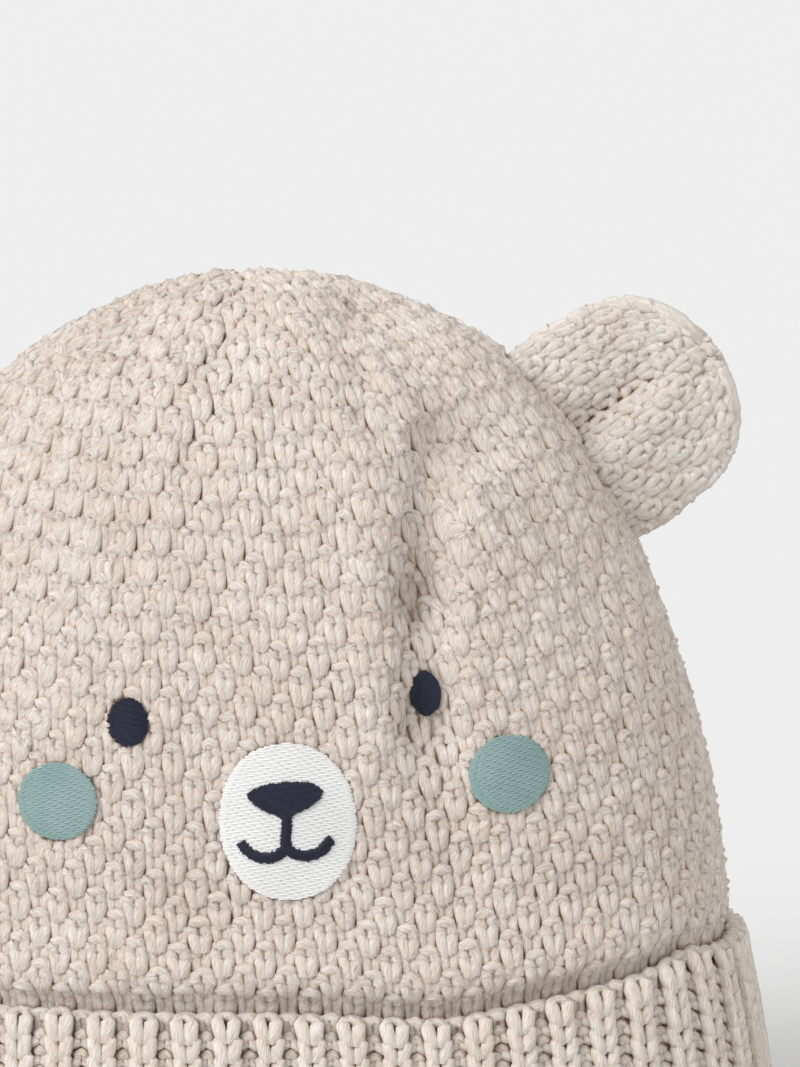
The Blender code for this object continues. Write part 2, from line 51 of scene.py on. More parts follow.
# The hat's shape, as its solids have it
HAT_HEIGHT = 0.184
CROWN_HALF_WIDTH = 0.0874
CROWN_HALF_DEPTH = 0.0515
CROWN_WALL = 0.0032
CROWN_TUCK = 0.0014
CROWN_BELLY = 0.0032
BELLY_HEIGHT = 0.022
BELLY_FROM = 0.2
BELLY_FULL = 0.55
TUCK_HEIGHT = 0.0040
OVERHANG_HEIGHT = 0.0056
SEAM_BELOW_CUFF = 0.009
GATHER_DEPTH = 0.0013
GATHER_LOBES = 9
GATHER_RADIUS = 0.011
GATHER_BACK = 0.017
CUFF_HEIGHT = 0.046
CUFF_FLARE = 0.0055
CUFF_ROUNDING = 0.0011
CUFF_FLARE_POWER = 0.8
OUTER_MIDDLE = 0.45 * MM
FOLD_RADIUS = 1.7 * MM
FOLD_Z = 4.6 * MM
EAR_WIDTH = 0.045
EAR_REACH = 0.0325
EAR_THICKNESS = 0.0100
EAR_EDGE_THICKNESS = 0.0045
EAR_STRAIGHT_REACH = 0.40
EAR_SQUARENESS = 2.15
EAR_SWELL = 0.04
EAR_END_POWER = 6
EAR_OVAL_ALONG = 1.25
EAR_OVAL_ACROSS = 0.75
EAR_UP_SHARE = 0.722
EAR_TURN = math.radians(31)
EAR_CREASE_DEPTH = 0.0032
EAR_CREASE_WIDTH = 0.0042
EAR_CREASE_REACH = 0.75
EAR_CREASE_UP = 0.0015
EAR_BACK_CREASE = 0.5
EAR_SEAT_RISE = 0.3 * MM
EAR_AIM_DEPTH = 0.35
FACE_HEIGHT = 0.0808
CROWN_HEIGHT = HAT_HEIGHT - CUFF_HEIGHT

Edge = namedtuple("Edge", "across up")
CUFF_EDGE = (
    Edge(-1.00, 1.030),
    Edge(-0.67, 1.000),
    Edge(-0.35, 0.965),
    Edge(0.00, 0.925),
    Edge(0.30, 0.865),
    Edge(0.45, 0.885),
    Edge(0.64, 0.925),
    Edge(0.79, 0.965),
    Edge(0.85, 1.005),
    Edge(0.90, 1.015),
    Edge(1.00, 0.985),
)

Section = namedtuple("Section", "up wide deep lean squareness")
CROWN_SECTIONS = (
    Section(0.000, 1.000, 1.000, 0.000, 2.6),
    Section(0.100, 0.994, 0.995, 0.002, 2.6),
    Section(0.220, 0.980, 0.985, 0.006, 2.5),
    Section(0.340, 0.950, 0.960, 0.011, 2.4),
    Section(0.460, 0.905, 0.920, 0.016, 2.3),
    Section(0.580, 0.848, 0.865, 0.020, 2.2),
    Section(0.700, 0.768, 0.790, 0.025, 2.2),
    Section(0.800, 0.668, 0.700, 0.029, 2.1),
    Section(0.885, 0.532, 0.575, 0.033, 2.1),
    Section(0.950, 0.342, 0.400, 0.036, 2.0),
    Section(0.987, 0.177, 0.205, 0.036, 2.0),
    Section(1.000, 0.000, 0.000, 0.036, 2.0),
)

FOLD_FADE = 0.4
Fold = namedtuple("Fold", "side from_across from_up to_across to_up width depth")
FOLDS = (
    Fold("front", 0.385, 0.770, 0.332, 0.557, 0.062, 0.062),
    Fold("front", 0.332, 0.557, 0.325, 0.372, 0.062, 0.056),
    Fold("front", 0.325, 0.372, 0.375, 0.169, 0.080, 0.022),
    Fold("front", 0.235, 0.740, 0.215, 0.360, 0.085, -0.018),
    Fold("front", 0.245, 0.963, 0.490, 0.767, 0.060, 0.030),
    Fold("front", 0.490, 0.767, 0.744, 0.528, 0.075, 0.024),
    Fold("front", 0.188, 0.952, 0.268, 0.739, 0.045, 0.018),
    Fold("front", -0.050, 0.985, -0.188, 0.760, 0.055, 0.018),
    Fold("front", -0.295, 0.953, -0.325, 0.654, 0.060, 0.014),
    Fold("front", -0.167, 0.635, -0.195, 0.075, 0.120, 0.016),
    Fold("back", 0.060, 0.950, 0.090, 0.520, 0.060, 0.034),
    Fold("back", -0.260, 0.900, -0.360, 0.480, 0.070, 0.030),
    Fold("back", 0.400, 0.860, 0.480, 0.420, 0.080, 0.024),
    Fold("back", -0.100, 0.560, -0.080, 0.140, 0.120, 0.016),
)

# Yarn and thread
YARN_RADIUS = 1.30 * MM
YARN_SIDES = 6
TWIST_LENGTH = 17 * MM
THREAD_RADIUS = 0.19 * MM
STITCH_STEPS = 12
RNG = np.random.default_rng(7)

# Knit of the crown. A wale is a column of stitches and a course is a row of them.
BASE_WALES = 112
LEAST_WALES = 6
HIGHEST_RING = 0.995
HIGHEST_LOOP = 0.999
CROWN_WALE = 3.5 * MM
CROWN_COURSES = 33
COURSES_PER_PIECE = 11
FIRST_COURSE = 0.8
KNIT_BELOW_CUFF_EDGE = 3.0 * MM
LOOP_DEPTH = 0.75 * MM
THINNEST_YARN = 0.4
SLIDE_FROM = 0.45
SLIDE_POWER = 2.4
LOW_COURSES = 0.93
COURSE_GROWTH = 0.07
GROWTH_PACE = 1.6
SEWN_DEPTH = 0.9 * MM
SEWN_FLATTENING = 0.3
CROWN_BACKING_OUTSIDE = 1.85 * MM
CROWN_BACKING_INSIDE = 2.55 * MM
CROWN_BACKING_TOP = 0.9985
CROWN_BACKING_FINE_FROM = 0.040

# Knit of the cuff. Its drop is from the top edge to the fold, and the rib's start and highest place are
# shares of that. The wall behind it is measured inwards from the middle of the outer layer.
RIB_COURSES = 14
RIB_COURSES_PER_PIECE = 7
RIB_COURSE = 3.9 * MM
CUFF_DROP = 0.0415
RIB_LOOP_DEPTH = 0.62 * MM
RIB_CREST = 0.80 * MM
RIB_SPREAD = 0.30
RIB_START = 0.055
RIB_HIGHEST = 0.012
RIB_TOP_TUCK = 1.2 * MM
EDGE_RADIUS = 0.95 * MM
EDGE_BELOW_TOP = 1.7 * MM
EDGE_INSET = 0.2 * MM
EDGE_SWING_UP = 0.60 * MM
EDGE_SWING_OUT = 0.40 * MM
EDGE_STEPS_PER_WALE = 8
WALL_COLUMNS_PER_WALE = 4
CUFF_BACKING_OUTSIDE = 0.6 * MM
CUFF_BACKING_INSIDE = 1.3 * MM
CUFF_BACKING_BELOW_TOP = 1.6 * MM
INNER_WALL_FRONT = 0.7 * MM
INNER_RIB_RELIEF = 0.9 * MM
INNER_WALL_TOP = 0.9 * MM
INNER_WALL_BACK = 1.1 * MM
INNER_WALL_LOWERED = 1.2 * MM

# Knit of the ears. The first course is in courses and the last in shares of the ear's reach.
EAR_WALE = 3.6 * MM
EAR_COURSE = 3.6 * MM
EAR_FIRST_COURSE = 0.25
EAR_LAST_SHARE = 0.93
EAR_RIM_SHARE = 0.965
EAR_LIP = 1.8 * MM
EAR_LIP_WIDTH = 2.4
EAR_LOOP_DEPTH = 0.42 * MM
EAR_YARN_INSET = 1.25 * MM
EAR_YARN_SHARE = 0.88
EAR_BACKING_INSET = 1.7 * MM

# Loose fibres
FIBRE_RADIUS = 0.040 * MM
FIBRE_LENGTHS = (1.6 * MM, 4.0 * MM)
FIBRE_BEND = 0.5
CROWN_FIBRES = 3000
CROWN_FIBRE_SHARES = (0.04, 0.88)
CROWN_FIBRE_HEIGHTS = (0.1 * MM, 0.8 * MM)
CUFF_FIBRES = 1000
CUFF_FIBRE_SHARES = (0.06, 0.95)
CUFF_FIBRE_HEIGHTS = (1.2 * MM, 2.4 * MM)

# Steps over which slopes are measured, and how often a search is halved
TURN_STEP = 1e-3
CLIMB_STEP = 2e-3
HIGHEST_CLIMB = 1 - 1e-4
KNIT_STEPS = (4e-3, 4e-3)
FACE_STEPS = (8e-3, 8e-3)
EAR_STEPS = (0.04, 0.012)
KNIT_HALVINGS = 20
EAR_HALVINGS = 32


# Small helpers

def smoothstep(x):
    """Three x squared less two x cubed, held at 0 below 0 and at 1 above 1."""
    x = np.clip(x, 0, 1)
    return x * x * (3 - 2 * x)


def smooth_curve(points, before, after, steps):
    """Catmull-Rom curve through rows of numbers, as steps + 1 rows. Before and after lie past its ends."""
    padded = np.vstack([before, points, after])
    where = np.linspace(0, len(points) - 1, steps + 1)
    k = np.minimum(where.astype(int), len(points) - 2)
    f = (where - k)[:, None]
    a, b, c, d = padded[k], padded[k + 1], padded[k + 2], padded[k + 3]
    cubic = (3 * b - a - 3 * c + d) * f**3 + (2 * a - 5 * b + 4 * c - d) * f**2
    return 0.5 * (cubic + (c - a) * f + 2 * b)


def unit(v):
    """Vectors divided by their lengths."""
    return v / np.maximum(np.linalg.norm(v, axis=-1, keepdims=True), 1e-12)


# The hat's surface. Turn goes round from the front towards +X, and climb from the crown's foot to its top.

PROFILE_STEPS = 400
SEAM_HEIGHT = CUFF_HEIGHT * min(edge.up for edge in CUFF_EDGE) - SEAM_BELOW_CUFF
cuff_low, cuff_high = (np.array(corner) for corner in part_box("cuff"))
HAT_MIDDLE = np.array([(cuff_low[0] + cuff_high[0]) / 2, (cuff_low[1] + cuff_high[1]) / 2, 0.0])


def crown_profile():
    """Rows of (z, half width, half depth, lean, squareness) up the crown, evenly spaced along its side."""
    table = np.array(CROWN_SECTIONS)
    table = smooth_curve(table, 2 * table[0] - table[1], table[-2] * [1, -1, -1, 1, 1], PROFILE_STEPS)
    z = CUFF_HEIGHT + table[:, 0] * CROWN_HEIGHT
    wide = np.maximum(table[:, 1], 0) * CROWN_HALF_WIDTH
    deep = np.maximum(table[:, 2], 0) * CROWN_HALF_DEPTH
    rows = np.column_stack([z, wide, deep, -table[:, 3] * CROWN_HALF_WIDTH, table[:, 4]])
    foot = rows[0].copy()
    foot[0] = SEAM_HEIGHT
    rows = np.vstack([foot, rows])
    length = np.concatenate([[0], np.cumsum(np.hypot(np.diff(rows[:, 0]), np.diff(rows[:, 1])))])
    even = np.linspace(0, length[-1], PROFILE_STEPS + 1)
    return np.column_stack([np.interp(even, length, rows[:, c]) for c in range(rows.shape[1])])


PROFILE = crown_profile()
PROFILE_CLIMB = np.linspace(0, 1, len(PROFILE))


def profile_at(climb):
    """Height, half width, half depth, lean and squareness of the section at a climb."""
    return [np.interp(climb, PROFILE_CLIMB, PROFILE[:, c]) for c in range(PROFILE.shape[1])]


def climb_at_height(z):
    """The climb at which the profile reaches a height."""
    return np.interp(z, PROFILE[:, 0], PROFILE_CLIMB)


def section_radius(turn, wide, deep, squareness):
    """Distance from the middle to a superellipse's outline, at turn from the front."""
    wide, deep = np.maximum(wide, 1e-9), np.maximum(deep, 1e-9)
    across, along = np.abs(np.sin(turn)) / wide, np.abs(np.cos(turn)) / deep
    return (across**squareness + along**squareness) ** (-1 / squareness)


def smooth_crown(turn, climb):
    """The crown without its folds: at turn on the superellipse of the section at climb."""
    z, wide, deep, lean, squareness = profile_at(climb)
    radius = section_radius(turn, wide, deep, squareness)
    return np.stack([lean + radius * np.sin(turn), -radius * np.cos(turn), z + 0 * turn], -1)


def crown_normal(turn, climb):
    """The smooth crown's outward direction: the cross product of its slopes round and up."""
    low = np.maximum(climb - CLIMB_STEP, 0)
    high = np.minimum(climb + CLIMB_STEP, HIGHEST_CLIMB)
    along_turn = smooth_crown(turn + TURN_STEP, climb) - smooth_crown(turn - TURN_STEP, climb)
    along_climb = smooth_crown(turn, high) - smooth_crown(turn, low)
    return unit(np.cross(along_turn, along_climb))


EDGE_LINE = smooth_curve(np.array(CUFF_EDGE), CUFF_EDGE[0], CUFF_EDGE[-1], PROFILE_STEPS)


def cuff_top(turn):
    """Height of the cuff's upper edge: its table over the front, and straight round the back."""
    across = smooth_crown(turn, 0 * turn)[..., 0] / CROWN_HALF_WIDTH
    over_front = np.interp(across, EDGE_LINE[:, 0], EDGE_LINE[:, 1])
    round_back = np.interp(across, EDGE_LINE[[0, -1], 0], EDGE_LINE[[0, -1], 1])
    return CUFF_HEIGHT * np.where(np.cos(turn) > 0, over_front, round_back)


def fold_depth(point, turn):
    """How far the folds push the crown in: a bell curve of the distance to each fold's line."""
    across = point[..., 0] / CROWN_HALF_WIDTH
    up = (point[..., 2] - CUFF_HEIGHT) / CROWN_HEIGHT
    tall = CROWN_HEIGHT / CROWN_HALF_WIDTH
    depth = np.zeros_like(across)
    for fold in FOLDS:
        line = np.array([fold.to_across - fold.from_across, (fold.to_up - fold.from_up) * tall])
        away = np.stack([across - fold.from_across, (up - fold.from_up) * tall], -1)
        share = np.clip(away @ line / (line @ line), 0, 1)
        distance = np.linalg.norm(away - share[..., None] * line, axis=-1)
        facing = np.cos(turn) if fold.side == "front" else -np.cos(turn)
        depth += fold.depth * np.exp(-((distance / fold.width) ** 2)) * smoothstep(facing / FOLD_FADE)
    return depth * CROWN_HALF_WIDTH


def gather_depth(point):
    """Small radial pleats where the knit is drawn together, behind the crown's highest point."""
    x, y = point[..., 0] - PROFILE[-1, 3], point[..., 1] - GATHER_BACK
    near_top = np.exp(-((x**2 + y**2) / GATHER_RADIUS**2))
    return GATHER_DEPTH * near_top * (1 + np.cos(GATHER_LOBES * np.arctan2(x, -y)))


def crown_outside(turn, climb):
    """The crown's outside: tucked in behind the cuff, bellied over it at the front, and folded."""
    turn, climb = np.broadcast_arrays(np.asarray(turn, float), np.asarray(climb, float))
    point, normal = smooth_crown(turn, climb), crown_normal(turn, climb)
    above = point[..., 2] - cuff_top(turn)
    clear = above - CUFF_ROUNDING
    tuck = CROWN_TUCK * (1 - smoothstep(clear / TUCK_HEIGHT))
    belly = CROWN_BELLY * smoothstep(clear / OVERHANG_HEIGHT) * (1 - smoothstep(above / BELLY_HEIGHT))
    belly = belly * smoothstep((np.cos(turn) - BELLY_FROM) / (BELLY_FULL - BELLY_FROM))
    push = belly - tuck - fold_depth(point, turn) - gather_depth(point)
    return point + push[..., None] * normal


FINE_TURNS = np.linspace(0, TAU, 1441)


def turn_at(share):
    """Turn at a share of the way round the crown's widest section, measured along it."""
    ring = smooth_crown(FINE_TURNS, np.zeros_like(FINE_TURNS))
    length = np.concatenate([[0], np.cumsum(np.linalg.norm(np.diff(ring, axis=0), axis=1))])
    whole = np.floor(share)
    return np.interp(share - whole, length / length[-1], FINE_TURNS) + TAU * whole


# Climb for (turn, share of the way from the cuff's edge to the top, measured over the crown)
GRID_TURNS = 241
GRID_SHARES = 201
GRID_CLIMBS = 301


def climb_grid():
    """Each column follows one turn up the smooth crown, and is cut into steps of equal length."""
    turns = np.linspace(0, TAU, GRID_TURNS)
    start = climb_at_height(cuff_top(turns) - KNIT_BELOW_CUFF_EDGE)
    climbs = start + (1 - start) * np.linspace(0, 1, GRID_CLIMBS)[:, None]
    points = smooth_crown(turns + 0 * climbs, climbs)
    steps = np.linalg.norm(np.diff(points, axis=0), axis=-1)
    length = np.vstack([np.zeros(GRID_TURNS), np.cumsum(steps, axis=0)])
    shares = np.linspace(0, 1, GRID_SHARES)
    grid = [np.interp(shares * length[-1, k], length[:, k], climbs[:, k]) for k in range(GRID_TURNS)]
    return np.array(grid)


CLIMB_GRID = climb_grid()


def climb_at(turn, share):
    """Bilinear reading of the grid of climbs."""
    i = np.mod(turn / TAU, 1.0) * (GRID_TURNS - 1)
    j = np.clip(share, 0, 1) * (GRID_SHARES - 1)
    i0 = np.minimum(i.astype(int), GRID_TURNS - 2)
    j0 = np.minimum(j.astype(int), GRID_SHARES - 2)
    fi, fj = i - i0, j - j0
    low = CLIMB_GRID[i0, j0] * (1 - fj) + CLIMB_GRID[i0, j0 + 1] * fj
    high = CLIMB_GRID[i0 + 1, j0] * (1 - fj) + CLIMB_GRID[i0 + 1, j0 + 1] * fj
    return low * (1 - fi) + high * fi


def knit_place(turn, share):
    """Turn and climb of a place in the knit. Its courses close round the gather, so above mid height they
    slide back over the crown, and bisection finds the section that each place then lies on."""
    climb = climb_at(turn, share)
    _, wide, deep, lean, squareness = profile_at(climb)
    radius = section_radius(turn, wide, deep, squareness)
    x = lean + radius * np.sin(turn)
    past = np.clip((share - SLIDE_FROM) / (1 - SLIDE_FROM), 0, 1)
    y = GATHER_BACK * past**SLIDE_POWER - radius * np.cos(turn)
    low, high = np.zeros_like(climb), np.ones_like(climb)
    for _ in range(KNIT_HALVINGS):
        middle = (low + high) / 2
        _, wide, deep, lean, squareness = profile_at(middle)
        reach = section_radius(np.arctan2(x - lean, -y), wide, deep, squareness)
        inside = np.hypot(x - lean, y) < reach
        low, high = np.where(inside, middle, low), np.where(inside, high, middle)
    slid = np.arctan2(x - profile_at(low)[3], -y)
    return np.where(share > SLIDE_FROM, slid, turn), np.where(share > SLIDE_FROM, low, climb)


def knit_surface(turn, share):
    """The crown's outside at a place in the knit."""
    return crown_outside(*knit_place(turn, share))


def folded_normal(surface, a, b, step_a, step_b):
    """Outward direction of a surface of two numbers, from the cross product of its slopes."""
    along_a = surface(a + step_a, b) - surface(a - step_a, b)
    along_b = surface(a, b + step_b) - surface(a, b - step_b)
    return unit(np.cross(along_a, along_b))


# Meshes

def add_mesh(name, points, quads, uvs, material, slot, replaced=()):
    """A mesh from an array of points, an array of quads and an array of each corner's (u, v)."""
    mesh = bpy.data.meshes.new(name)
    count = len(quads)
    mesh.vertices.add(len(points))
    mesh.vertices.foreach_set("co", np.asarray(points, np.float32).ravel())
    mesh.loops.add(count * 4)
    mesh.loops.foreach_set("vertex_index", np.asarray(quads, np.int32).ravel())
    mesh.polygons.add(count)
    mesh.polygons.foreach_set("loop_start", np.arange(0, count * 4, 4, dtype=np.int32))
    mesh.polygons.foreach_set("use_smooth", np.ones(count, bool))
    mesh.update(calc_edges=True)
    mesh.validate()
    if uvs is not None:
        layer = mesh.uv_layers.new(name="Strand")
        layer.uv.foreach_set("vector", np.asarray(uvs, np.float32).ravel())
    mesh.materials.append(material)
    piece = bpy.data.objects.new(name, mesh)
    bpy.context.scene.collection.objects.link(piece)
    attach(piece, "root")
    for node in replaced:
        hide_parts(node)
    return piece


class Mesh:
    """Collects parts of one mesh: points, quads and the corners' (u, v)."""

    def __init__(self):
        self.points = []
        self.quads = []
        self.uvs = []
        self.count = 0

    def add(self, points, quads, uvs):
        self.points.append(points)
        self.quads.append(quads + self.count)
        self.uvs.append(uvs)
        self.count += len(points)

    def add_strand(self, places, normal, radius, seed):
        """One closed strand of yarn through places that are measured from the hat's middle. The seed moves
        its streaks along, so that no two strands look alike."""
        radius = np.broadcast_to(radius, places.shape[:-1])
        paths = (places + HAT_MIDDLE)[None]
        self.add(*tubes(paths, normal[None], radius[None], closed=True, seed=seed))

    def finish(self, name, material, slot, replaced=()):
        arrays = (np.concatenate(part) for part in (self.points, self.quads, self.uvs))
        return add_mesh(name, *arrays, material, slot, replaced)


def tubes(paths, outward, radius, sides=YARN_SIDES, closed=False, seed=0.0):
    """Strands: a ring of points round every point of each path, across its direction. Outward is the
    surface's direction, so that a strand's seam lies behind it. U runs along in metres, and v round from 0 to
    1 plus the yarn's twist."""
    count, steps, _ = paths.shape
    if closed:
        ahead = np.roll(paths, -1, axis=1) - np.roll(paths, 1, axis=1)
    else:
        ahead = np.gradient(paths, axis=1)
    ahead = unit(ahead)
    aside = unit(np.cross(outward, ahead))
    up = np.cross(ahead, aside)
    around = (np.arange(sides) / sides * TAU + math.pi)[:, None]
    radius = np.broadcast_to(radius, (count, steps))[..., None, None]
    ring = np.cos(around) * up[:, :, None] + np.sin(around) * aside[:, :, None]
    points = (paths[:, :, None] + radius * ring).reshape(-1, 3)

    rows = np.arange(steps if closed else steps - 1)
    side = np.arange(sides)
    strand = np.arange(count)[:, None, None] * steps * sides
    here = strand + rows[:, None] * sides
    there = strand + ((rows + 1) % steps)[:, None] * sides
    side_next = (side + 1) % sides
    quads = np.stack([here + side, there + side, there + side_next, here + side_next], -1).reshape(-1, 4)

    stretch = np.linalg.norm(np.roll(paths, -1, axis=1) - paths, axis=-1)
    u = np.concatenate([np.zeros((count, 1)), np.cumsum(stretch, axis=1)], axis=1) + seed
    u0 = np.broadcast_to(u[:, rows, None], (count, len(rows), sides))
    u1 = np.broadcast_to(u[:, rows + 1, None], (count, len(rows), sides))
    v0 = np.broadcast_to(side / sides, u0.shape)
    v1 = v0 + 1 / sides
    corners = ((u0, v0), (u1, v0), (u1, v1), (u0, v1))
    uvs = np.stack([np.stack([u, v + u / TWIST_LENGTH], -1) for u, v in corners], -2).reshape(-1, 2)
    if not closed:
        first = strand[:, 0]
        last = first + (steps - 1) * sides
        fan = range(1, sides - 2, 2)
        caps = [np.column_stack([first, first + k + 2, first + k + 1, first + k]) for k in fan]
        caps += [np.column_stack([last, last + k, last + k + 1, last + k + 2]) for k in fan]
        caps = np.concatenate(caps)
        quads = np.concatenate([quads, caps])
        uvs = np.concatenate([uvs, np.zeros((len(caps) * 4, 2))])
    return points, quads, uvs


def ladder(ring):
    """Quads that close a ring of an even number of points, as rungs across it."""
    k = np.arange(len(ring) // 2 - 1)
    return np.stack([ring[k], ring[k + 1], ring[-2 - k], ring[-1 - k]], -1)


def sheet_grid(points, wrap_b=False):
    """Quads over a grid of points [a, b], joined to itself along a. Along b it is joined too, or its two
    end rings are closed. The quads are turned so that the skin faces out, as the sign of its volume tells."""
    na, nb = points.shape[:2]
    a = np.arange(na)[:, None]
    b = np.arange(nb if wrap_b else nb - 1)[None]
    a1, b1 = (a + 1) % na, (b + 1) % nb
    quads = np.stack([a * nb + b, a1 * nb + b, a1 * nb + b1, a * nb + b1], -1).reshape(-1, 4)
    corners = ((a, b), (a + 1, b), (a + 1, b + 1), (a, b + 1))
    uvs = [np.stack(np.broadcast_arrays(p / na, q / nb), -1) for p, q in corners]
    uvs = np.stack(uvs, -2).reshape(-1, 2)
    if not wrap_b:
        ring = np.arange(na) * nb
        caps = np.concatenate([ladder(ring[::-1]), ladder(ring + nb - 1)])
        quads = np.concatenate([quads, caps])
        uvs = np.concatenate([uvs, np.zeros((len(caps) * 4, 2))])
    points = points.reshape(-1, 3)
    p, q, r, s = (points[quads[:, k]] - points.mean(0) for k in range(4))
    if (np.cross(p, q) * r + np.cross(p, r) * s).sum() < 0:
        quads = quads[:, ::-1]
        uvs = uvs.reshape(-1, 4, 2)[:, ::-1].reshape(-1, 2)
    return points, quads, uvs


# Loops of yarn

# How a stitch sits: its reach below and above its course, in courses, how far its legs are drawn together
# below and above, how flat its bends are, its depth at the foot, the leg, the shoulder and the head, and the
# yarn's thickness there. Depth is + to the outside.
Stitch = namedtuple("Stitch", "below above pinch_below pinch_above flatness depths thicks")
MOSS_KNIT = Stitch(0.84, 0.66, 0.235, 0.150, 0.66, (-1.10, 1.05, 0.35, 1.05), (0.85, 1.20, 1.00, 1.12))
MOSS_PURL = Stitch(0.72, 0.60, 0.190, 0.180, 0.60, (1.35, -0.55, 0.10, -1.00), (1.22, 1.12, 1.22, 0.95))
RIB_KNIT = Stitch(0.84, 0.76, 0.215, 0.160, 0.74, (-1.00, 1.10, 1.05, -0.90), (0.90, 1.22, 1.20, 0.95))
RIB_PURL = Stitch(0.78, 0.76, 0.160, 0.160, 0.80, (1.10, -1.00, -1.00, 0.90), (1.00, 0.95, 0.95, 1.00))

# Shares of the way along a stitch: its start, foot, leg, shoulder, head, and back
PLACES = np.array([0.0, 0.09, 0.185, 0.33, 0.43, 0.5, 0.57, 0.67, 0.815, 0.91, 1.0])
HEAD_WIDENING = 1.4

# How much stitches differ from each other
UNEVEN_PINCH = 0.10
UNEVEN_ASIDE = 0.045
UNEVEN_UP = 0.05
UNEVEN_DEPTH = 0.10
UNEVEN_THICKNESS = 0.04

# Slow waves that the columns and rows drift by: size, waves round the hat and up it
Wave = namedtuple("Wave", "size turns shares")
ASIDE_WAVES = (Wave(0.006, 6, 12), Wave(0.004, 11, -21))
UP_WAVES = (Wave(0.0035, 8, 9), Wave(0.0020, 17, -5))
CALM_AT_CUFF = 0.15
CALM_AT_TOP = 0.8


def loop_shape(kinds, knit, purl):
    """One course of loops as (x in wales, y in courses, depth, thickness). Along each stitch s runs from 0 to
    1: x is s plus pinch times sin 4 pi s, y swings as minus cos 2 pi s between its reach below and above, and
    depth and thickness go smoothly from foot to leg, shoulder and head and back. Kinds are +1 for knit and -1
    for purl."""
    count = len(kinds)
    s = np.arange(STITCH_STEPS) / STITCH_STEPS
    is_knit = (kinds > 0)[:, None]
    below, above, pinch_below, pinch_above, flatness = (
        np.where(is_knit, k, p) for k, p in zip(knit[:5], purl[:5])
    )
    jitter = RNG.normal(0, 1, (count, 5))
    lower = 0.5 + 0.5 * np.clip(np.cos(TAU * s) * HEAD_WIDENING, -1, 1)
    pinch = pinch_below * lower + pinch_above * (1 - lower)
    x = np.arange(count)[:, None] + s + pinch * np.sin(2 * TAU * s) * (1 + UNEVEN_PINCH * jitter[:, :1])
    x += UNEVEN_ASIDE * jitter[:, 2:3] * np.sin(math.pi * s) ** 2
    swing = np.cos(TAU * s)
    y = -np.where(swing > 0, below, above) * np.sign(swing) * np.abs(swing) ** flatness
    y += UNEVEN_UP * jitter[:, 1:2] * np.sin(math.pi * s) ** 2
    k = np.clip(np.searchsorted(PLACES, s, side="right") - 1, 0, len(PLACES) - 2)
    f = 0.5 - 0.5 * np.cos(math.pi * (s - PLACES[k]) / (PLACES[k + 1] - PLACES[k]))

    def along_loop(knit_values, purl_values):
        foot, leg, shoulder, head = (np.where(is_knit, a, b) for a, b in zip(knit_values, purl_values))
        before, after = ((foot + np.roll(foot, way, axis=0)) / 2 for way in (1, -1))
        there_and_back = [before, foot, leg, shoulder, head, head, head, shoulder, leg, foot, after]
        stops = np.concatenate(there_and_back, axis=1)
        return stops[:, k] * (1 - f) + stops[:, k + 1] * f

    depth = along_loop(knit.depths, purl.depths) + UNEVEN_DEPTH * jitter[:, 3:4]
    thick = along_loop(knit.thicks, purl.thicks) * (1 + UNEVEN_THICKNESS * jitter[:, 4:])
    return x.ravel(), y.ravel(), depth.ravel(), thick.ravel()


def moss(course, count):
    """Seed stitch: knit and purl by turns, shifted by one in every course."""
    return np.where((np.arange(count) + course) % 2 == 0, 1.0, -1.0)


def course_share(course):
    """Share of the way up for a course: the courses near the cuff are lower than those at mid height."""
    k = course / CROWN_COURSES
    return k * (LOW_COURSES + COURSE_GROWTH * smoothstep(k * GROWTH_PACE))


def wander(turn, share):
    """Columns and rows of soft knit drift a little: sums of slow sine waves of turn and share. The rows lie
    level at the cuff and at the top."""
    aside, up = (
        sum(wave.size * np.sin(wave.turns * turn + wave.shares * share) for wave in waves)
        for waves in (ASIDE_WAVES, UP_WAVES)
    )
    free = smoothstep(share / CALM_AT_CUFF) * (1 - smoothstep((share - CALM_AT_TOP) / (1 - CALM_AT_TOP)))
    return turn + aside, share + up * free


def crown_point(turn, share, depth):
    """A place on the crown's knit, depth metres out from the middle of its wall."""
    point = knit_surface(turn, share)
    normal = folded_normal(knit_surface, turn, np.clip(share, 0.004, 0.985), *KNIT_STEPS)
    return point + (depth - CROWN_WALL / 2)[..., None] * normal, normal


# Colours and materials

def linear(hex_colour):
    """An sRGB hex colour as linear RGBA."""
    srgb = [int(hex_colour[i : i + 2], 16) / 255 for i in (1, 3, 5)]
    return (*(c / 12.92 if c <= 0.04045 else ((c + 0.055) / 1.055) ** 2.4 for c in srgb), 1.0)


def node(tree, kind, settings=None, **links):
    """Adds a node. Settings are its properties and its inputs' values, and links join inputs to outputs."""
    made = tree.nodes.new(kind)
    for key, value in (settings or {}).items():
        if isinstance(key, int) or key in made.inputs:
            made.inputs[key].default_value = value
        else:
            setattr(made, key, value)
    for key, output in links.items():
        place = int(key[1:]) if key[1:].isdigit() else key
        tree.links.new(output, made.inputs[place])
    return made


def ramp(tree, factor, low, high, dark, light):
    """Colours from dark, at low, to light, at high."""
    made = node(tree, "ShaderNodeValToRGB", Fac=factor)
    made.color_ramp.elements[0].position = low
    made.color_ramp.elements[0].color = linear(dark)
    made.color_ramp.elements[1].position = high
    made.color_ramp.elements[1].color = linear(light)
    return made.outputs["Color"]


def multiplied(tree, first, second):
    """The product of two colours."""
    settings = {"data_type": "RGBA", "blend_type": "MULTIPLY", 0: 1.0}
    made = node(tree, "ShaderNodeMix", settings, _6=first, _7=second)
    return made.outputs[2]


# Length of a fibre's streak, streaks round a strand, and the surface's roughness, sheen and relief
Finish = namedtuple("Finish", "fibre_length fibres_round roughness sheen relief")
SPUN_YARN = Finish(1.9 * MM, 36, 1.0, 0.10, 1.0)
RAYON_THREAD = Finish(1.5 * MM, 3, 0.5, 0.15, 0.1)


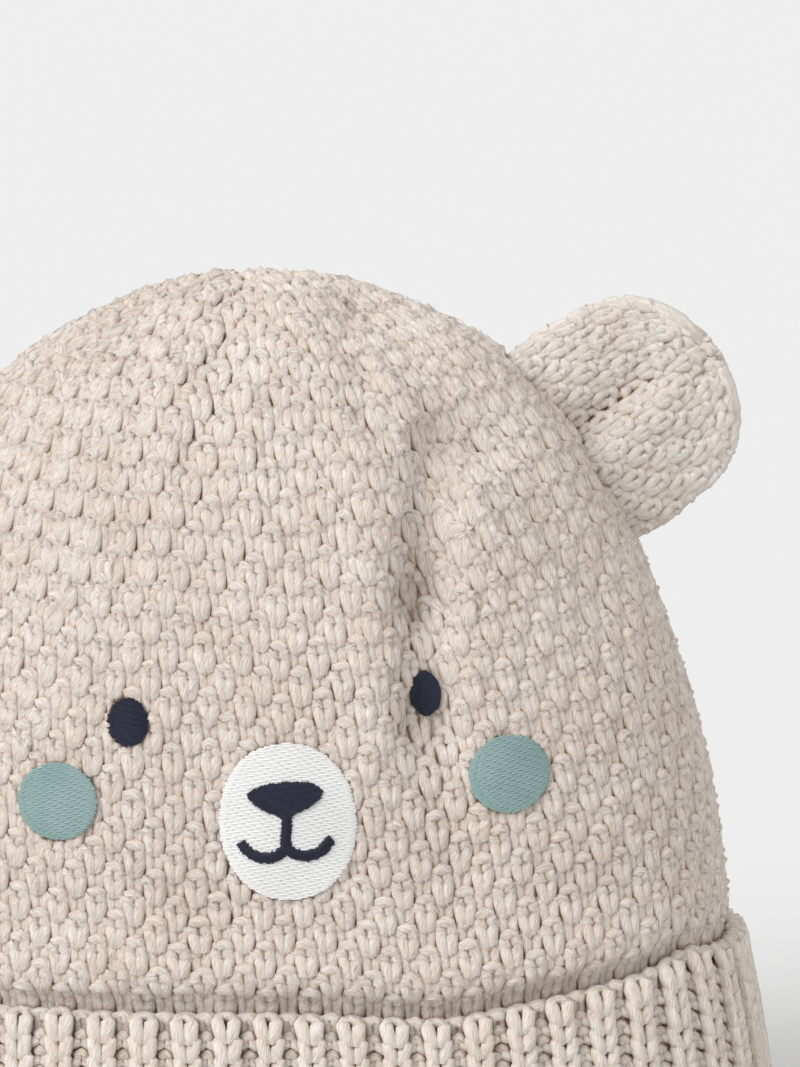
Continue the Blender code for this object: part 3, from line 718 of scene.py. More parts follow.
def thread_material(name, dark, light, crease, drift_dark, finish):
    """Spun yarn or thread. Fibres lie along the strand as fine light and dark streaks, with a slight relief,
    the colour drifts softly over the cloth, and a painted shade in the crease colour darkens it where strands
    press on each other, wherever an ambient occlusion mask finds them close."""
    material = bpy.data.materials.new(name)
    material.use_nodes = True
    tree = material.node_tree
    shader = tree.nodes["Principled BSDF"]
    strand = node(tree, "ShaderNodeUVMap", {"uv_map": "Strand"}).outputs["UV"]
    stretch = {"Scale": (1 / finish.fibre_length, finish.fibres_round, 1)}
    along = node(tree, "ShaderNodeMapping", stretch, Vector=strand).outputs["Vector"]
    fine = {"Scale": 1.0, "Detail": 4.0, "Roughness": 0.65}
    streaks = node(tree, "ShaderNodeTexNoise", fine, Vector=along).outputs["Fac"]
    place = node(tree, "ShaderNodeTexCoord").outputs["Object"]
    drift = node(tree, "ShaderNodeTexNoise", {"Scale": 90.0, "Detail": 2.0}, Vector=place).outputs["Fac"]
    fibres = ramp(tree, streaks, 0.31, 0.60, dark, light)
    patches = ramp(tree, drift, 0.35, 0.65, drift_dark, "#FFFFFF")
    colour = multiplied(tree, fibres, patches)
    # Painted shade: the colour is multiplied towards the crease colour where the occlusion mask finds other
    # strands close by.
    near = node(tree, "ShaderNodeAmbientOcclusion", {"samples": 4, "Distance": 1.3 * MM}).outputs["AO"]
    colour = multiplied(tree, colour, ramp(tree, near, 0.12, 0.66, crease, "#FFFFFF"))
    tree.links.new(colour, shader.inputs["Base Color"])
    bump = node(tree, "ShaderNodeBump", {"Strength": finish.relief, "Distance": 0.7 * MM}, Height=streaks)
    tree.links.new(bump.outputs["Normal"], shader.inputs["Normal"])
    shader.inputs["Roughness"].default_value = finish.roughness
    shader.inputs["Sheen Weight"].default_value = finish.sheen
    shader.inputs["Sheen Roughness"].default_value = 0.5
    shader.inputs["Sheen Tint"].default_value = linear(light)
    shader.inputs["Specular IOR Level"].default_value = 0.2
    return material


def backing_material(name, dark, light):
    """The inside of the knit, seen in the small gaps between strands, in colours darkened as painted shade:
    matt, in fine uneven fibre.
    """
    material = bpy.data.materials.new(name)
    material.use_nodes = True
    tree = material.node_tree
    shader = tree.nodes["Principled BSDF"]
    place = node(tree, "ShaderNodeTexCoord").outputs["Object"]
    fibre = node(tree, "ShaderNodeTexNoise", {"Scale": 900.0, "Detail": 3.0}, Vector=place)
    colour = ramp(tree, fibre.outputs["Fac"], 0.3, 0.7, dark, light)
    tree.links.new(colour, shader.inputs["Base Color"])
    bump = node(tree, "ShaderNodeBump", {"Strength": 0.6, "Distance": 0.4 * MM}, Height=fibre.outputs["Fac"])
    tree.links.new(bump.outputs["Normal"], shader.inputs["Normal"])
    shader.inputs["Roughness"].default_value = 1.0
    shader.inputs["Specular IOR Level"].default_value = 0.1
    return material


# The third colour of each yarn and thread is the painted shade in its creases.
# Aran weight acrylic and cotton yarn, softly spun in oatmeal: matt, with pale fibre streaks
MOSS_YARN = thread_material("oatmeal_aran_yarn", "#DABFAE", "#FFFBF4", "#C4A48B", "#FAF6F2", SPUN_YARN)
# The same yarn knitted tighter in the ears, in lighter colours: painted light, for the extra light that the
# ears catch
EAR_YARN_PAINTED_LIGHT = thread_material("oatmeal_ear_yarn_painted_light", "#ECD4C4", "#FFFEFA", "#CCAE96", "#FAF6F2", SPUN_YARN)
# The same yarn in the cuff
RIB_YARN = thread_material("oatmeal_rib_yarn", "#DEC4B2", "#FFFCF4", "#C4A48B", "#FAF6F2", SPUN_YARN)
# The same yarn where the gaps between strands let one look into the cloth, darkened as painted shade
YARN_BACK_PAINTED_SHADE = backing_material("oatmeal_yarn_in_shade", "#B09A88", "#D2BFB0")
# Rayon embroidery thread: smooth filaments with a soft gloss along them
WHITE_THREAD = thread_material("white_rayon_thread", "#DAD9D7", "#F1F1F0", "#E4E4E4", "#FAFAFA", RAYON_THREAD)
NAVY_THREAD = thread_material("navy_rayon_thread", "#0D1017", "#3A3F50", "#D0D0D8", "#E8E8F0", RAYON_THREAD)
GREEN_THREAD = thread_material("green_rayon_thread", "#7D9998", "#A8BDBC", "#D8E0DF", "#EEF4F2", RAYON_THREAD)


# Crown

# Where embroidery presses the knit in, measured from the muzzle's middle
Patch = namedtuple("Patch", "across above half_width half_height")
PATCH_MARGIN = 0.4 * MM
PRESSED_TO = 0.85
PRESSED_FADE = 0.25
PATCHES = (
    Patch(0.0, 0.0, 13.4 * MM, 15.6 * MM),
    Patch(-30.1 * MM, 21.2 * MM, 3.6 * MM, 4.6 * MM),
    Patch(30.1 * MM, 21.2 * MM, 3.6 * MM, 4.6 * MM),
    Patch(-45.0 * MM, 5.3 * MM, 7.7 * MM, 7.7 * MM),
    Patch(45.0 * MM, 5.3 * MM, 7.7 * MM, 7.7 * MM),
)


def sewn_down(point, turn):
    """1 under the embroidery, where its thread presses the knit in, and 0 away from it, by the distance from
    each patch's middle in half widths and half heights."""
    most = np.zeros(point.shape[:-1])
    for patch in PATCHES:
        x = (point[..., 0] - patch.across) / (patch.half_width + PATCH_MARGIN)
        z = (point[..., 2] - FACE_HEIGHT - patch.above) / (patch.half_height + PATCH_MARGIN)
        most = np.maximum(most, 1 - smoothstep((np.hypot(x, z) - PRESSED_TO) / PRESSED_FADE))
    return most * (np.cos(turn) > 0)


def build_crown_yarn():
    """Courses of seed stitch loops, each one closed strand round the crown, from the cuff's edge to the
    top. Each course has no more wales than the one below, and no more than fit round it."""
    parts = Mesh()
    piece = 0
    wales = BASE_WALES
    around = np.linspace(0, TAU, 181)
    for course in range(CROWN_COURSES):
        low = course_share(course + FIRST_COURSE)
        high = course_share(course + 1 + FIRST_COURSE)
        ring = knit_surface(around, np.full(around.shape, min(low, HIGHEST_RING)))
        girth = np.linalg.norm(np.diff(ring, axis=0), axis=1).sum()
        fitting = 2 * int(round(girth / CROWN_WALE / 2))
        wales = max(min(wales, fitting), LEAST_WALES)
        x, y, depth, thick = loop_shape(moss(course, wales), MOSS_KNIT, MOSS_PURL)
        turn, share = wander(turn_at(x / wales), low + y * (high - low))
        share = np.clip(share, 0.0, HIGHEST_LOOP)
        outside = knit_surface(turn, share)
        pressed = sewn_down(outside, turn)
        tight = min(1.0, girth / wales / CROWN_WALE)
        depth = depth * LOOP_DEPTH * tight * (1 - SEWN_FLATTENING * pressed) - SEWN_DEPTH * pressed
        point, normal = crown_point(turn, share, depth)
        radius = YARN_RADIUS * thick * (THINNEST_YARN + (1 - THINNEST_YARN) * tight)
        parts.add_strand(point, normal, radius, seed=course * 0.71)
        if (course + 1) % COURSES_PER_PIECE == 0:
            piece += 1
            parts.finish(f"crown_yarn_{piece}", MOSS_YARN, "moss_knit", ("crown",))
            parts = Mesh()


def build_crown_backing():
    """A thin closed wall inside the knit, from the seam to the top, which shows only between strands."""
    columns, coarse_rows, fine_rows = 120, 4, 40
    turns = turn_at(np.arange(columns) / columns)
    bend = climb_at_height(CROWN_BACKING_FINE_FROM)
    climbs = [np.linspace(0, bend, coarse_rows)[:-1], np.linspace(bend, CROWN_BACKING_TOP, fine_rows)]
    a, b = np.meshgrid(turns, np.concatenate(climbs), indexing="ij")
    normal = folded_normal(crown_outside, a, np.clip(b, 0.004, 0.99), *KNIT_STEPS)
    surface = crown_outside(a, b)
    outer = surface - CROWN_BACKING_OUTSIDE * normal
    inner = surface - CROWN_BACKING_INSIDE * normal
    loop = np.concatenate([outer, inner[:, ::-1]], axis=1)
    points, quads, uvs = sheet_grid(loop + HAT_MIDDLE, wrap_b=True)
    # Its darker colour is painted shade.
    add_mesh("crown_backing", points, quads, uvs, YARN_BACK_PAINTED_SHADE, "moss_knit", ("crown",))


# Cuff

def cuff_point(turn, offset, z):
    """A place off the crown's lowest section, moved outwards by offset."""
    base = smooth_crown(turn, 0 * turn)
    ahead = smooth_crown(turn + TURN_STEP, 0 * turn) - smooth_crown(turn - TURN_STEP, 0 * turn)
    outward = unit(np.stack([ahead[..., 1], -ahead[..., 0], 0 * turn], -1))
    point = base + offset[..., None] * outward
    point[..., 2] = z
    return point, outward


def cuff_flare(z):
    """How far the cuff spreads at a height: nothing at its top, and most at its foot."""
    return CUFF_FLARE * (1 - np.clip(z / CUFF_HEIGHT, 0, 1)) ** CUFF_FLARE_POWER


def cuff_path(turn, q):
    """Middle of the cuff's cloth. Q goes from 0 at the top edge to 1 at the fold, down the outer layer, and
    on round the fold, which is a half circle, and up the inner layer."""
    top = cuff_top(turn)
    down = top - FOLD_Z
    z = top - np.clip(q, None, 1) * down
    past = np.maximum(q - 1, 0) * down
    angle = np.minimum(past / FOLD_RADIUS, math.pi)
    rise = np.maximum(past - math.pi * FOLD_RADIUS, 0)
    z = np.where(q > 1, FOLD_Z - FOLD_RADIUS * np.sin(angle) + rise, z)
    inward = FOLD_RADIUS * (1 - np.cos(angle))
    point, _ = cuff_point(turn, OUTER_MIDDLE + cuff_flare(z) - inward, z)
    return point


def cuff_normal(turn, q):
    """The outside's direction: q runs down, so its slope is measured the other way."""
    return folded_normal(lambda a, b: cuff_path(a, -b), turn, -q, *KNIT_STEPS)


def build_cuff_yarn():
    """One by one rib: wales of knit stand forward, wales of purl lie back and are drawn narrower. Courses are
    closed strands from the bound-off edge down and round the fold."""
    parts = Mesh()
    piece = 0
    kinds = np.where(np.arange(BASE_WALES) % 2 == 0, 1.0, -1.0)
    step = RIB_COURSE / CUFF_DROP
    for course in range(RIB_COURSES):
        x, y, depth, thick = loop_shape(kinds, RIB_KNIT, RIB_PURL)
        crest = np.cos(math.pi * (x - 0.5))
        spread = x + RIB_SPREAD / math.pi * np.sin(math.pi * (x - 0.5))
        turn = turn_at(spread / BASE_WALES)
        q = RIB_START + (course + 0.5) * step - y * step
        near_edge = 1 - smoothstep(q / RIB_START)
        q = np.maximum(q, RIB_HIGHEST)
        normal = cuff_normal(turn, q)
        out = depth * RIB_LOOP_DEPTH + RIB_CREST * crest - RIB_TOP_TUCK * near_edge
        point = cuff_path(turn, q) + out[:, None] * normal
        parts.add_strand(point, normal, YARN_RADIUS * thick, seed=course * 0.53)
        if (course + 1) % RIB_COURSES_PER_PIECE == 0:
            piece += 1
            parts.finish(f"cuff_yarn_{piece}", RIB_YARN, "rib_knit", ("cuff",))
            parts = Mesh()


def build_cuff_edge():
    """The bound-off edge: a chain of two strands twisted round each other, behind the tops of the ribs."""
    count = BASE_WALES * EDGE_STEPS_PER_WALE
    share = np.arange(count) / count
    turn = turn_at(share)
    twist = share * BASE_WALES * math.pi
    parts = Mesh()
    for phase in (0, math.pi):
        z = cuff_top(turn) - EDGE_BELOW_TOP + EDGE_SWING_UP * np.sin(twist + phase)
        offset = OUTER_MIDDLE - EDGE_INSET + EDGE_SWING_OUT * np.cos(twist + phase)
        point, outward = cuff_point(turn, offset, z)
        parts.add_strand(point, outward, EDGE_RADIUS, seed=phase)
    parts.finish("cuff_edge", RIB_YARN, "rib_knit", ("cuff",))


def build_cuff_backing():
    """The inner layer with its ribs, and a thin wall inside the outer layer, joined by the fold. It is one
    closed skin of rings, each given by its offset and its height. They go down the outer layer, round the
    fold, up the ribbed face on the head's side, and back between the two layers."""
    columns = BASE_WALES * WALL_COLUMNS_PER_WALE
    share = np.arange(columns) / columns
    turn = turn_at(share)
    rib = 0.5 - 0.5 * np.cos(TAU * share * BASE_WALES / 2)
    top = cuff_top(turn)
    inner_middle = OUTER_MIDDLE - 2 * FOLD_RADIUS
    seat = np.full(columns, SEAM_HEIGHT)
    flat = np.ones(columns)
    outer_rise = top - CUFF_BACKING_BELOW_TOP - FOLD_Z
    radius = FOLD_RADIUS - CUFF_BACKING_OUTSIDE
    rings = []
    for down in np.linspace(0, 1, 8):
        z = top - CUFF_BACKING_BELOW_TOP - down * outer_rise
        rings.append((OUTER_MIDDLE - CUFF_BACKING_OUTSIDE + cuff_flare(z), z))
    for angle in np.linspace(0, math.pi, 7)[1:-1]:
        offset = OUTER_MIDDLE - FOLD_RADIUS + radius * math.cos(angle) + CUFF_FLARE * flat
        rings.append((offset, FOLD_Z - radius * math.sin(angle) * flat))
    for up in np.linspace(0, 1, 9):
        z = (FOLD_Z + up * (SEAM_HEIGHT - FOLD_Z)) * flat
        relief = INNER_WALL_FRONT + INNER_RIB_RELIEF * rib * min(1, up * 4)
        rings.append((inner_middle - relief + cuff_flare(z), z))
    rings.append((inner_middle + INNER_WALL_TOP + cuff_flare(seat), seat))
    for up in np.linspace(1, 0, 5):
        z = (FOLD_Z + up * (SEAM_HEIGHT - INNER_WALL_LOWERED - FOLD_Z)) * flat
        rings.append((inner_middle + INNER_WALL_BACK + cuff_flare(z), z))
    for up in np.linspace(0, 1, 6):
        z = FOLD_Z + up * outer_rise
        rings.append((OUTER_MIDDLE - CUFF_BACKING_INSIDE + cuff_flare(z), z))
    grid = np.stack([cuff_point(turn, offset * flat, z)[0] for offset, z in rings], 1)
    points, quads, uvs = sheet_grid(grid + HAT_MIDDLE, wrap_b=True)
    # Its darker colour is painted shade.
    add_mesh("cuff_backing", points, quads, uvs, YARN_BACK_PAINTED_SHADE, "rib_knit", ("cuff",))


# Ears

def crown_distance(origin, direction):
    """Distance along direction from a point inside the smooth crown to its outside, by bisection."""
    near, far = np.zeros(len(origin)), np.full(len(origin), CROWN_HALF_WIDTH * 2)
    for _ in range(EAR_HALVINGS):
        middle = (near + far) / 2
        x, y, z = (origin + middle[:, None] * direction).T
        _, wide, deep, lean, squareness = profile_at(climb_at_height(z))
        reach = section_radius(np.arctan2(x - lean, -y), wide, deep, squareness)
        inside = (np.hypot(x - lean, y) < reach) & (z < HAT_HEIGHT)
        near, far = np.where(inside, middle, near), np.where(inside, far, middle)
    return near


TOWARDS_FACE = np.array([0, -1.0, 0])


class Ear:
    """An ear as a surface of the angle round its oval section and the share of its reach."""

    def __init__(self, side):
        self.side = side
        z = CUFF_HEIGHT + EAR_UP_SHARE * CROWN_HEIGHT
        _, wide, _, lean, _ = profile_at(climb_at_height(z))
        self.out = np.array([side * math.cos(EAR_TURN), 0, math.sin(EAR_TURN)])
        self.seam = np.array([-side * math.sin(EAR_TURN), 0, math.cos(EAR_TURN)])
        self.inside = np.array([lean + side * wide, 0, z]) - self.out * CROWN_HALF_WIDTH * EAR_AIM_DEPTH
        self.level = self.seat(np.zeros(1), np.zeros(1))[0]

    def seat(self, along, forward):
        """How far out from inside the crown its outside lies, at a place in the ear's section."""
        return crown_distance(self.place(along, forward), self.out)

    def place(self, along, forward):
        """A place in the ear's section, inside the crown: along its seam, and towards the face."""
        return self.inside + along[:, None] * self.seam + forward[:, None] * TOWARDS_FACE

    def surface(self, around, share):
        """Half width and half thickness follow the reach, and the crease presses both faces together. A lip
        swells below the crease, and the foot follows the crown."""
        shape = np.broadcast_shapes(np.shape(around), np.shape(share))
        around = np.broadcast_to(around, shape).ravel()
        share = np.clip(np.broadcast_to(share, shape).ravel(), -0.06, 0.9995)
        past = np.maximum(share - EAR_STRAIGHT_REACH, 0) / (1 - EAR_STRAIGHT_REACH)
        swell = 1 + EAR_SWELL * np.sin(math.pi * np.clip(share / EAR_STRAIGHT_REACH, 0, 1))
        half_width = EAR_WIDTH / 2 * swell * (1 - past**EAR_SQUARENESS) ** (1 / EAR_SQUARENESS)
        half_thick = (EAR_EDGE_THICKNESS + (EAR_THICKNESS - EAR_EDGE_THICKNESS) * (1 - share)) / 2
        half_thick *= np.sqrt(1 - np.abs(share) ** EAR_END_POWER)
        along = half_width * np.sign(np.cos(around)) * np.abs(np.cos(around)) ** EAR_OVAL_ALONG
        forward = half_thick * np.sign(np.sin(around)) * np.abs(np.sin(around)) ** EAR_OVAL_ACROSS
        fade = 1 - smoothstep(share / EAR_CREASE_REACH)
        crease = np.exp(-(((along - EAR_CREASE_UP) / EAR_CREASE_WIDTH) ** 2)) * fade
        crease = np.where(forward > 0, 1, EAR_BACK_CREASE) * EAR_CREASE_DEPTH * crease
        forward = np.sign(forward) * np.maximum(np.abs(forward) - crease, 0)
        below = (EAR_CREASE_UP - along) / EAR_CREASE_WIDTH
        lip = np.exp(-((below / EAR_LIP_WIDTH) ** 2)) * np.tanh(2 * below)
        lip = lip * (1 - smoothstep((share - 0.5) / 0.3))
        forward = forward + np.where(forward > 0, EAR_LIP * lip, 0)
        seated = self.seat(along, forward) + EAR_SEAT_RISE
        out = seated + (self.level - seated) * smoothstep(share) + EAR_REACH * share
        return (self.place(along, forward) + out[:, None] * self.out).reshape(*shape, 3)

    def normal(self, around, share):
        """The ear's outward direction. The left ear is the right one mirrored, so its sign turns."""
        return folded_normal(self.surface, around, share, *EAR_STEPS) * self.side


def build_ear(word, side):
    """Seed stitch courses round the ear's oval section, each as long as the section is, over a closed pad."""
    ear = Ear(side)
    fine = np.linspace(0, TAU, 361)
    parts = Mesh()
    step = EAR_COURSE / EAR_REACH
    shares = np.arange(EAR_FIRST_COURSE, EAR_LAST_SHARE / step) * step
    for course, share in enumerate(np.append(shares, EAR_RIM_SHARE)):
        ring = ear.surface(fine, np.full(fine.shape, share))
        length = np.concatenate([[0], np.cumsum(np.linalg.norm(np.diff(ring, axis=0), axis=1))])
        quarter = np.interp(math.pi / 2, fine, length)
        wales = 2 * max(int(round(length[-1] / EAR_WALE / 2)), 3)
        x, y, depth, thick = loop_shape(moss(course, wales), MOSS_KNIT, MOSS_PURL)
        place = np.mod(quarter + (x / wales - 0.5) * length[-1], length[-1])
        around = np.interp(place, length, fine)
        reach = np.clip(share + y * step, -0.05, 0.992)
        normal = ear.normal(around, np.clip(reach, 0, 0.98))
        out = depth * EAR_LOOP_DEPTH - EAR_YARN_INSET
        point = ear.surface(around, reach) + out[:, None] * normal
        parts.add_strand(point, normal, YARN_RADIUS * thick * EAR_YARN_SHARE, seed=course * 0.37)
    yarn = parts.finish(f"ear_{word}_yarn", EAR_YARN_PAINTED_LIGHT, "moss_knit", (f"ear_{word}",))

    shares = np.sin(np.linspace(0, 1, 20) * math.pi / 2) * 0.995
    columns = 64
    around, share = np.meshgrid(np.arange(columns) / columns * TAU, shares, indexing="ij")
    normal = ear.normal(around, np.clip(share, 0.01, 0.97))
    inset = ear.surface(around, share) - EAR_BACKING_INSET * normal
    points, quads, uvs = sheet_grid(inset + HAT_MIDDLE)
    # Its darker colour is painted shade.
    add_mesh(f"ear_{word}_backing", points, quads, uvs, YARN_BACK_PAINTED_SHADE, "moss_knit", (f"ear_{word}",))


# Loose fibres

def add_fibres(parts, point, normal, heights):
    """Fine fibres that lie over the yarn: each starts at a point, runs off in any direction along the cloth
    in a bent line, and rises from the lower height towards the upper one and back."""
    low, high = heights
    count = len(point)
    aside = unit(np.cross(normal, RNG.normal(0, 1, (count, 3))))
    across = np.cross(normal, aside)
    along = np.linspace(0, 1, 4)
    length = RNG.uniform(*FIBRE_LENGTHS, count)[:, None]
    bend = RNG.uniform(-FIBRE_BEND, FIBRE_BEND, count)[:, None]
    arch = RNG.uniform(0.2, 1.0, count)[:, None] * np.sin(math.pi * (0.1 + 0.8 * along))
    rise = low + (high - low) * arch
    path = point[:, None] + (length * along)[..., None] * aside[:, None]
    path = path + (length * bend * along**2)[..., None] * across[:, None]
    path = path + rise[..., None] * normal[:, None]
    outward = np.broadcast_to(normal[:, None], path.shape)
    parts.add(*tubes(path + HAT_MIDDLE, outward, FIBRE_RADIUS, sides=4))


def build_fibres():
    """Fibres all over the crown and the cuff's outer layer."""
    parts = Mesh()
    turn = turn_at(RNG.uniform(0, 1, CROWN_FIBRES))
    share = RNG.uniform(*CROWN_FIBRE_SHARES, CROWN_FIBRES)
    outside = knit_surface(turn, share)
    keep = sewn_down(outside, turn) < 0.01
    normal = folded_normal(knit_surface, turn, share, *KNIT_STEPS)
    add_fibres(parts, outside[keep], normal[keep], CROWN_FIBRE_HEIGHTS)
    parts.finish("crown_fibres", MOSS_YARN, "moss_knit", ("crown",))
    parts = Mesh()
    turn = turn_at(RNG.uniform(0, 1, CUFF_FIBRES))
    q = RNG.uniform(*CUFF_FIBRE_SHARES, CUFF_FIBRES)
    add_fibres(parts, cuff_path(turn, q), cuff_normal(turn, q), CUFF_FIBRE_HEIGHTS)
    parts.finish("cuff_fibres", RIB_YARN, "rib_knit", ("cuff",))


# Embroidery. Places on the face are (across, up) from the muzzle's middle, in millimetres.

Oval = namedtuple("Oval", "across up half_width half_height squareness")
MUZZLE = Oval(0.0, 0.0, 13.5, 15.6, 2.15)
EYE_LEFT = Oval(-30.6, 21.2, 4.0, 4.7, 2.0)
EYE_RIGHT = Oval(28.7, 22.6, 3.0, 4.5, 2.0)
CHEEK_LEFT = Oval(-45.6, 5.9, 7.8, 7.6, 2.0)
CHEEK_RIGHT = Oval(44.4, 6.2, 8.0, 7.6, 2.0)
NOSE = (
    (6.9, 4.8), (7.2, 5.7), (6.6, 6.8), (5.0, 7.7), (2.0, 7.95), (-0.8, 8.0), (-1.8, 7.75),
    (-2.7, 8.0), (-5.0, 7.4), (-7.0, 6.6), (-7.7, 5.9), (-7.4, 5.1), (-6.3, 3.9), (-4.5, 2.5),
    (-2.5, 1.7), (-1.2, 1.1), (-0.1, 0.7), (1.0, 1.1), (2.0, 1.8), (4.0, 2.6), (6.0, 3.9),
)
NOSE_LINE = ((-0.1, 1.2), (-0.3, -1.0), (-0.5, -3.2), (-0.7, -5.4))
MOUTH_LEFT = ((-9.5, -3.7), (-7.8, -5.8), (-5.2, -6.9), (-2.7, -6.6), (-0.8, -5.2))
MOUTH_RIGHT = ((-0.6, -5.2), (1.3, -6.4), (3.5, -6.9), (6.2, -6.0), (8.4, -3.8))
STROKE_WIDTH = 1.95
STROKE_THREAD_RADIUS = 0.22 * MM
FILL_LENGTH = 3.8
NOSE_FILL_LENGTH = 5.0
PATCH_BASE = 0.25 * MM
PATCH_RISE = 0.75 * MM
PAD_THICKNESS = 1.0 * MM
FILL_ARCH = 0.16 * MM
NOSE_ARCH = 0.12 * MM
STROKE_ARCH = 0.30 * MM


def front_point(across, up, height):
    """A place on the crown's front, height metres off it. The aim is corrected until the folded surface, and
    not only the smooth one, has the asked across and up."""
    x, z = across * MM, FACE_HEIGHT + up * MM
    aim_x, aim_z = x, z
    for _ in range(4):
        climb = climb_at_height(aim_z)
        _, wide, deep, lean, squareness = profile_at(climb)
        share = np.clip(np.abs(aim_x - lean) / wide, 0, 0.999)
        turn = np.arctan2(aim_x - lean, deep * (1 - share**squareness) ** (1 / squareness))
        point = crown_outside(turn, climb)
        aim_x, aim_z = aim_x + x - point[..., 0], aim_z + z - point[..., 2]
    normal = folded_normal(crown_outside, turn, climb, *FACE_STEPS)
    return point + np.asarray(height)[..., None] * normal, normal


def oval_outline(oval, count=72):
    """A superellipse about the oval's middle: its half sizes times powers of the cosine and the sine."""
    around = np.arange(count) / count * TAU
    power = 2 / oval.squareness
    x = oval.half_width * np.sign(np.cos(around)) * np.abs(np.cos(around)) ** power
    z = oval.half_height * np.sign(np.sin(around)) * np.abs(np.sin(around)) ** power
    return np.column_stack([x, z]) + [oval.across, oval.up]


def fill_rows(outline, tilt, pitch, length):
    """Stitches in rows that fill an outline, as starts and ends. Each row's inner ends lie like bricks
    against the next row's, and its outer ends are uneven."""
    cos, sin = math.cos(tilt), math.sin(tilt)
    turned = outline @ np.array([[cos, -sin], [sin, cos]])
    nexts = np.roll(turned, -1, axis=0)
    stitches = []
    for row, v in enumerate(np.arange(turned[:, 1].min() + pitch / 2, turned[:, 1].max(), pitch)):
        crossed = (turned[:, 1] - v) * (nexts[:, 1] - v) < 0
        rise = (v - turned[crossed, 1]) / (nexts[crossed, 1] - turned[crossed, 1])
        ends = turned[crossed, 0] + rise * (nexts[crossed, 0] - turned[crossed, 0])
        first, last = ends.min() + RNG.uniform(-0.25, 0.15), ends.max() + RNG.uniform(-0.15, 0.25)
        cuts = (np.arange(-20, 20) + row * 0.382 % 1) * length + RNG.uniform(-0.1, 0.1)
        cuts = cuts[(cuts > first + 0.3 * length) & (cuts < last - 0.3 * length)]
        edges = np.concatenate([[first], cuts, [last]])
        stitches.append(np.column_stack([edges[:-1], edges[1:], np.full((len(cuts) + 1, 2), v)]))
    stitches = np.concatenate(stitches)
    back = np.array([[cos, sin], [-sin, cos]])
    return stitches[:, [0, 2]] @ back, stitches[:, [1, 3]] @ back


def satin(line, width, pitch):
    """Stitches across a line of places, slanted a little and uneven at their ends, as starts and ends."""
    line = np.array(line, float)
    line = smooth_curve(line, 2 * line[0] - line[1], 2 * line[-1] - line[-2], 200)
    length = np.concatenate([[0], np.cumsum(np.linalg.norm(np.diff(line, axis=0), axis=1))])
    count = int(length[-1] / pitch)
    even = np.linspace(0, length[-1], count)
    places = np.column_stack([np.interp(even, length, line[:, c]) for c in (0, 1)])
    ahead = unit(np.gradient(places, axis=0))
    aside = np.column_stack([-ahead[:, 1], ahead[:, 0]]) + 0.18 * ahead
    reach = width / 2 + RNG.uniform(-0.16, 0.16, (count, 2))
    return places - reach[:, :1] * aside, places + reach[:, 1:] * aside


def sew(parts, starts, ends, height, arch, radius=THREAD_RADIUS):
    """Threads from starts to ends: each rises out of the cloth, runs flat and dips in again."""
    along = np.array([0.0, 0.06, 0.25, 0.75, 0.94, 1.0])[:, None]
    lift = np.array([-1.0, 0.2, 1.0, 1.0, 0.2, -1.0]) * arch
    flat = starts[:, None] + (ends - starts)[:, None] * along
    point, normal = front_point(flat[..., 0], flat[..., 1], height(flat) + lift)
    parts.add(*tubes(point + HAT_MIDDLE, normal, radius, sides=4))


def domed(outline, base, rise):
    """Height over a patch: base at its outline and base + rise at its middle."""
    middle = (outline.max(0) + outline.min(0)) / 2
    half = (outline.max(0) - outline.min(0)) / 2
    return lambda place: base + rise * (1 - np.clip((((place - middle) / half) ** 2).sum(-1), 0, 1))


def add_pad(parts, outline, height, thickness):
    """The threads under the top ones, as one pad just inside the outline."""
    middle = (outline.max(0) + outline.min(0)) / 2
    shape = (outline - middle)[:, None]
    outward = np.array([0.04, 0.35, 0.65, 0.86, 0.95])
    flat = middle + shape * np.concatenate([outward, outward[::-1]])[:, None]
    drop = np.where(np.arange(10) < 5, thickness, 0.0)
    point, _ = front_point(flat[..., 0], flat[..., 1], height(flat) - drop)
    parts.add(*sheet_grid(point + HAT_MIDDLE))


def sew_patch(node_name, oval, tilt, pitch, material, slot):
    """Rows of stitches over a pad, tilted by degrees from level."""
    parts = Mesh()
    outline = oval_outline(oval)
    height = domed(outline, PATCH_BASE, PATCH_RISE)
    add_pad(parts, outline, height, PAD_THICKNESS)
    sew(parts, *fill_rows(outline, math.radians(tilt), pitch, FILL_LENGTH), height, FILL_ARCH)
    parts.finish(f"{node_name}_stitches", material, slot, (node_name,))


def sew_strokes(node_name, lines, pitch, height):
    """Lines in satin stitch."""
    parts = Mesh()
    for line in lines:
        sew(parts, *satin(line, STROKE_WIDTH, pitch), height, STROKE_ARCH, STROKE_THREAD_RADIUS)
    parts.finish(f"{node_name}_stitches", NAVY_THREAD, "navy_thread", (node_name,))


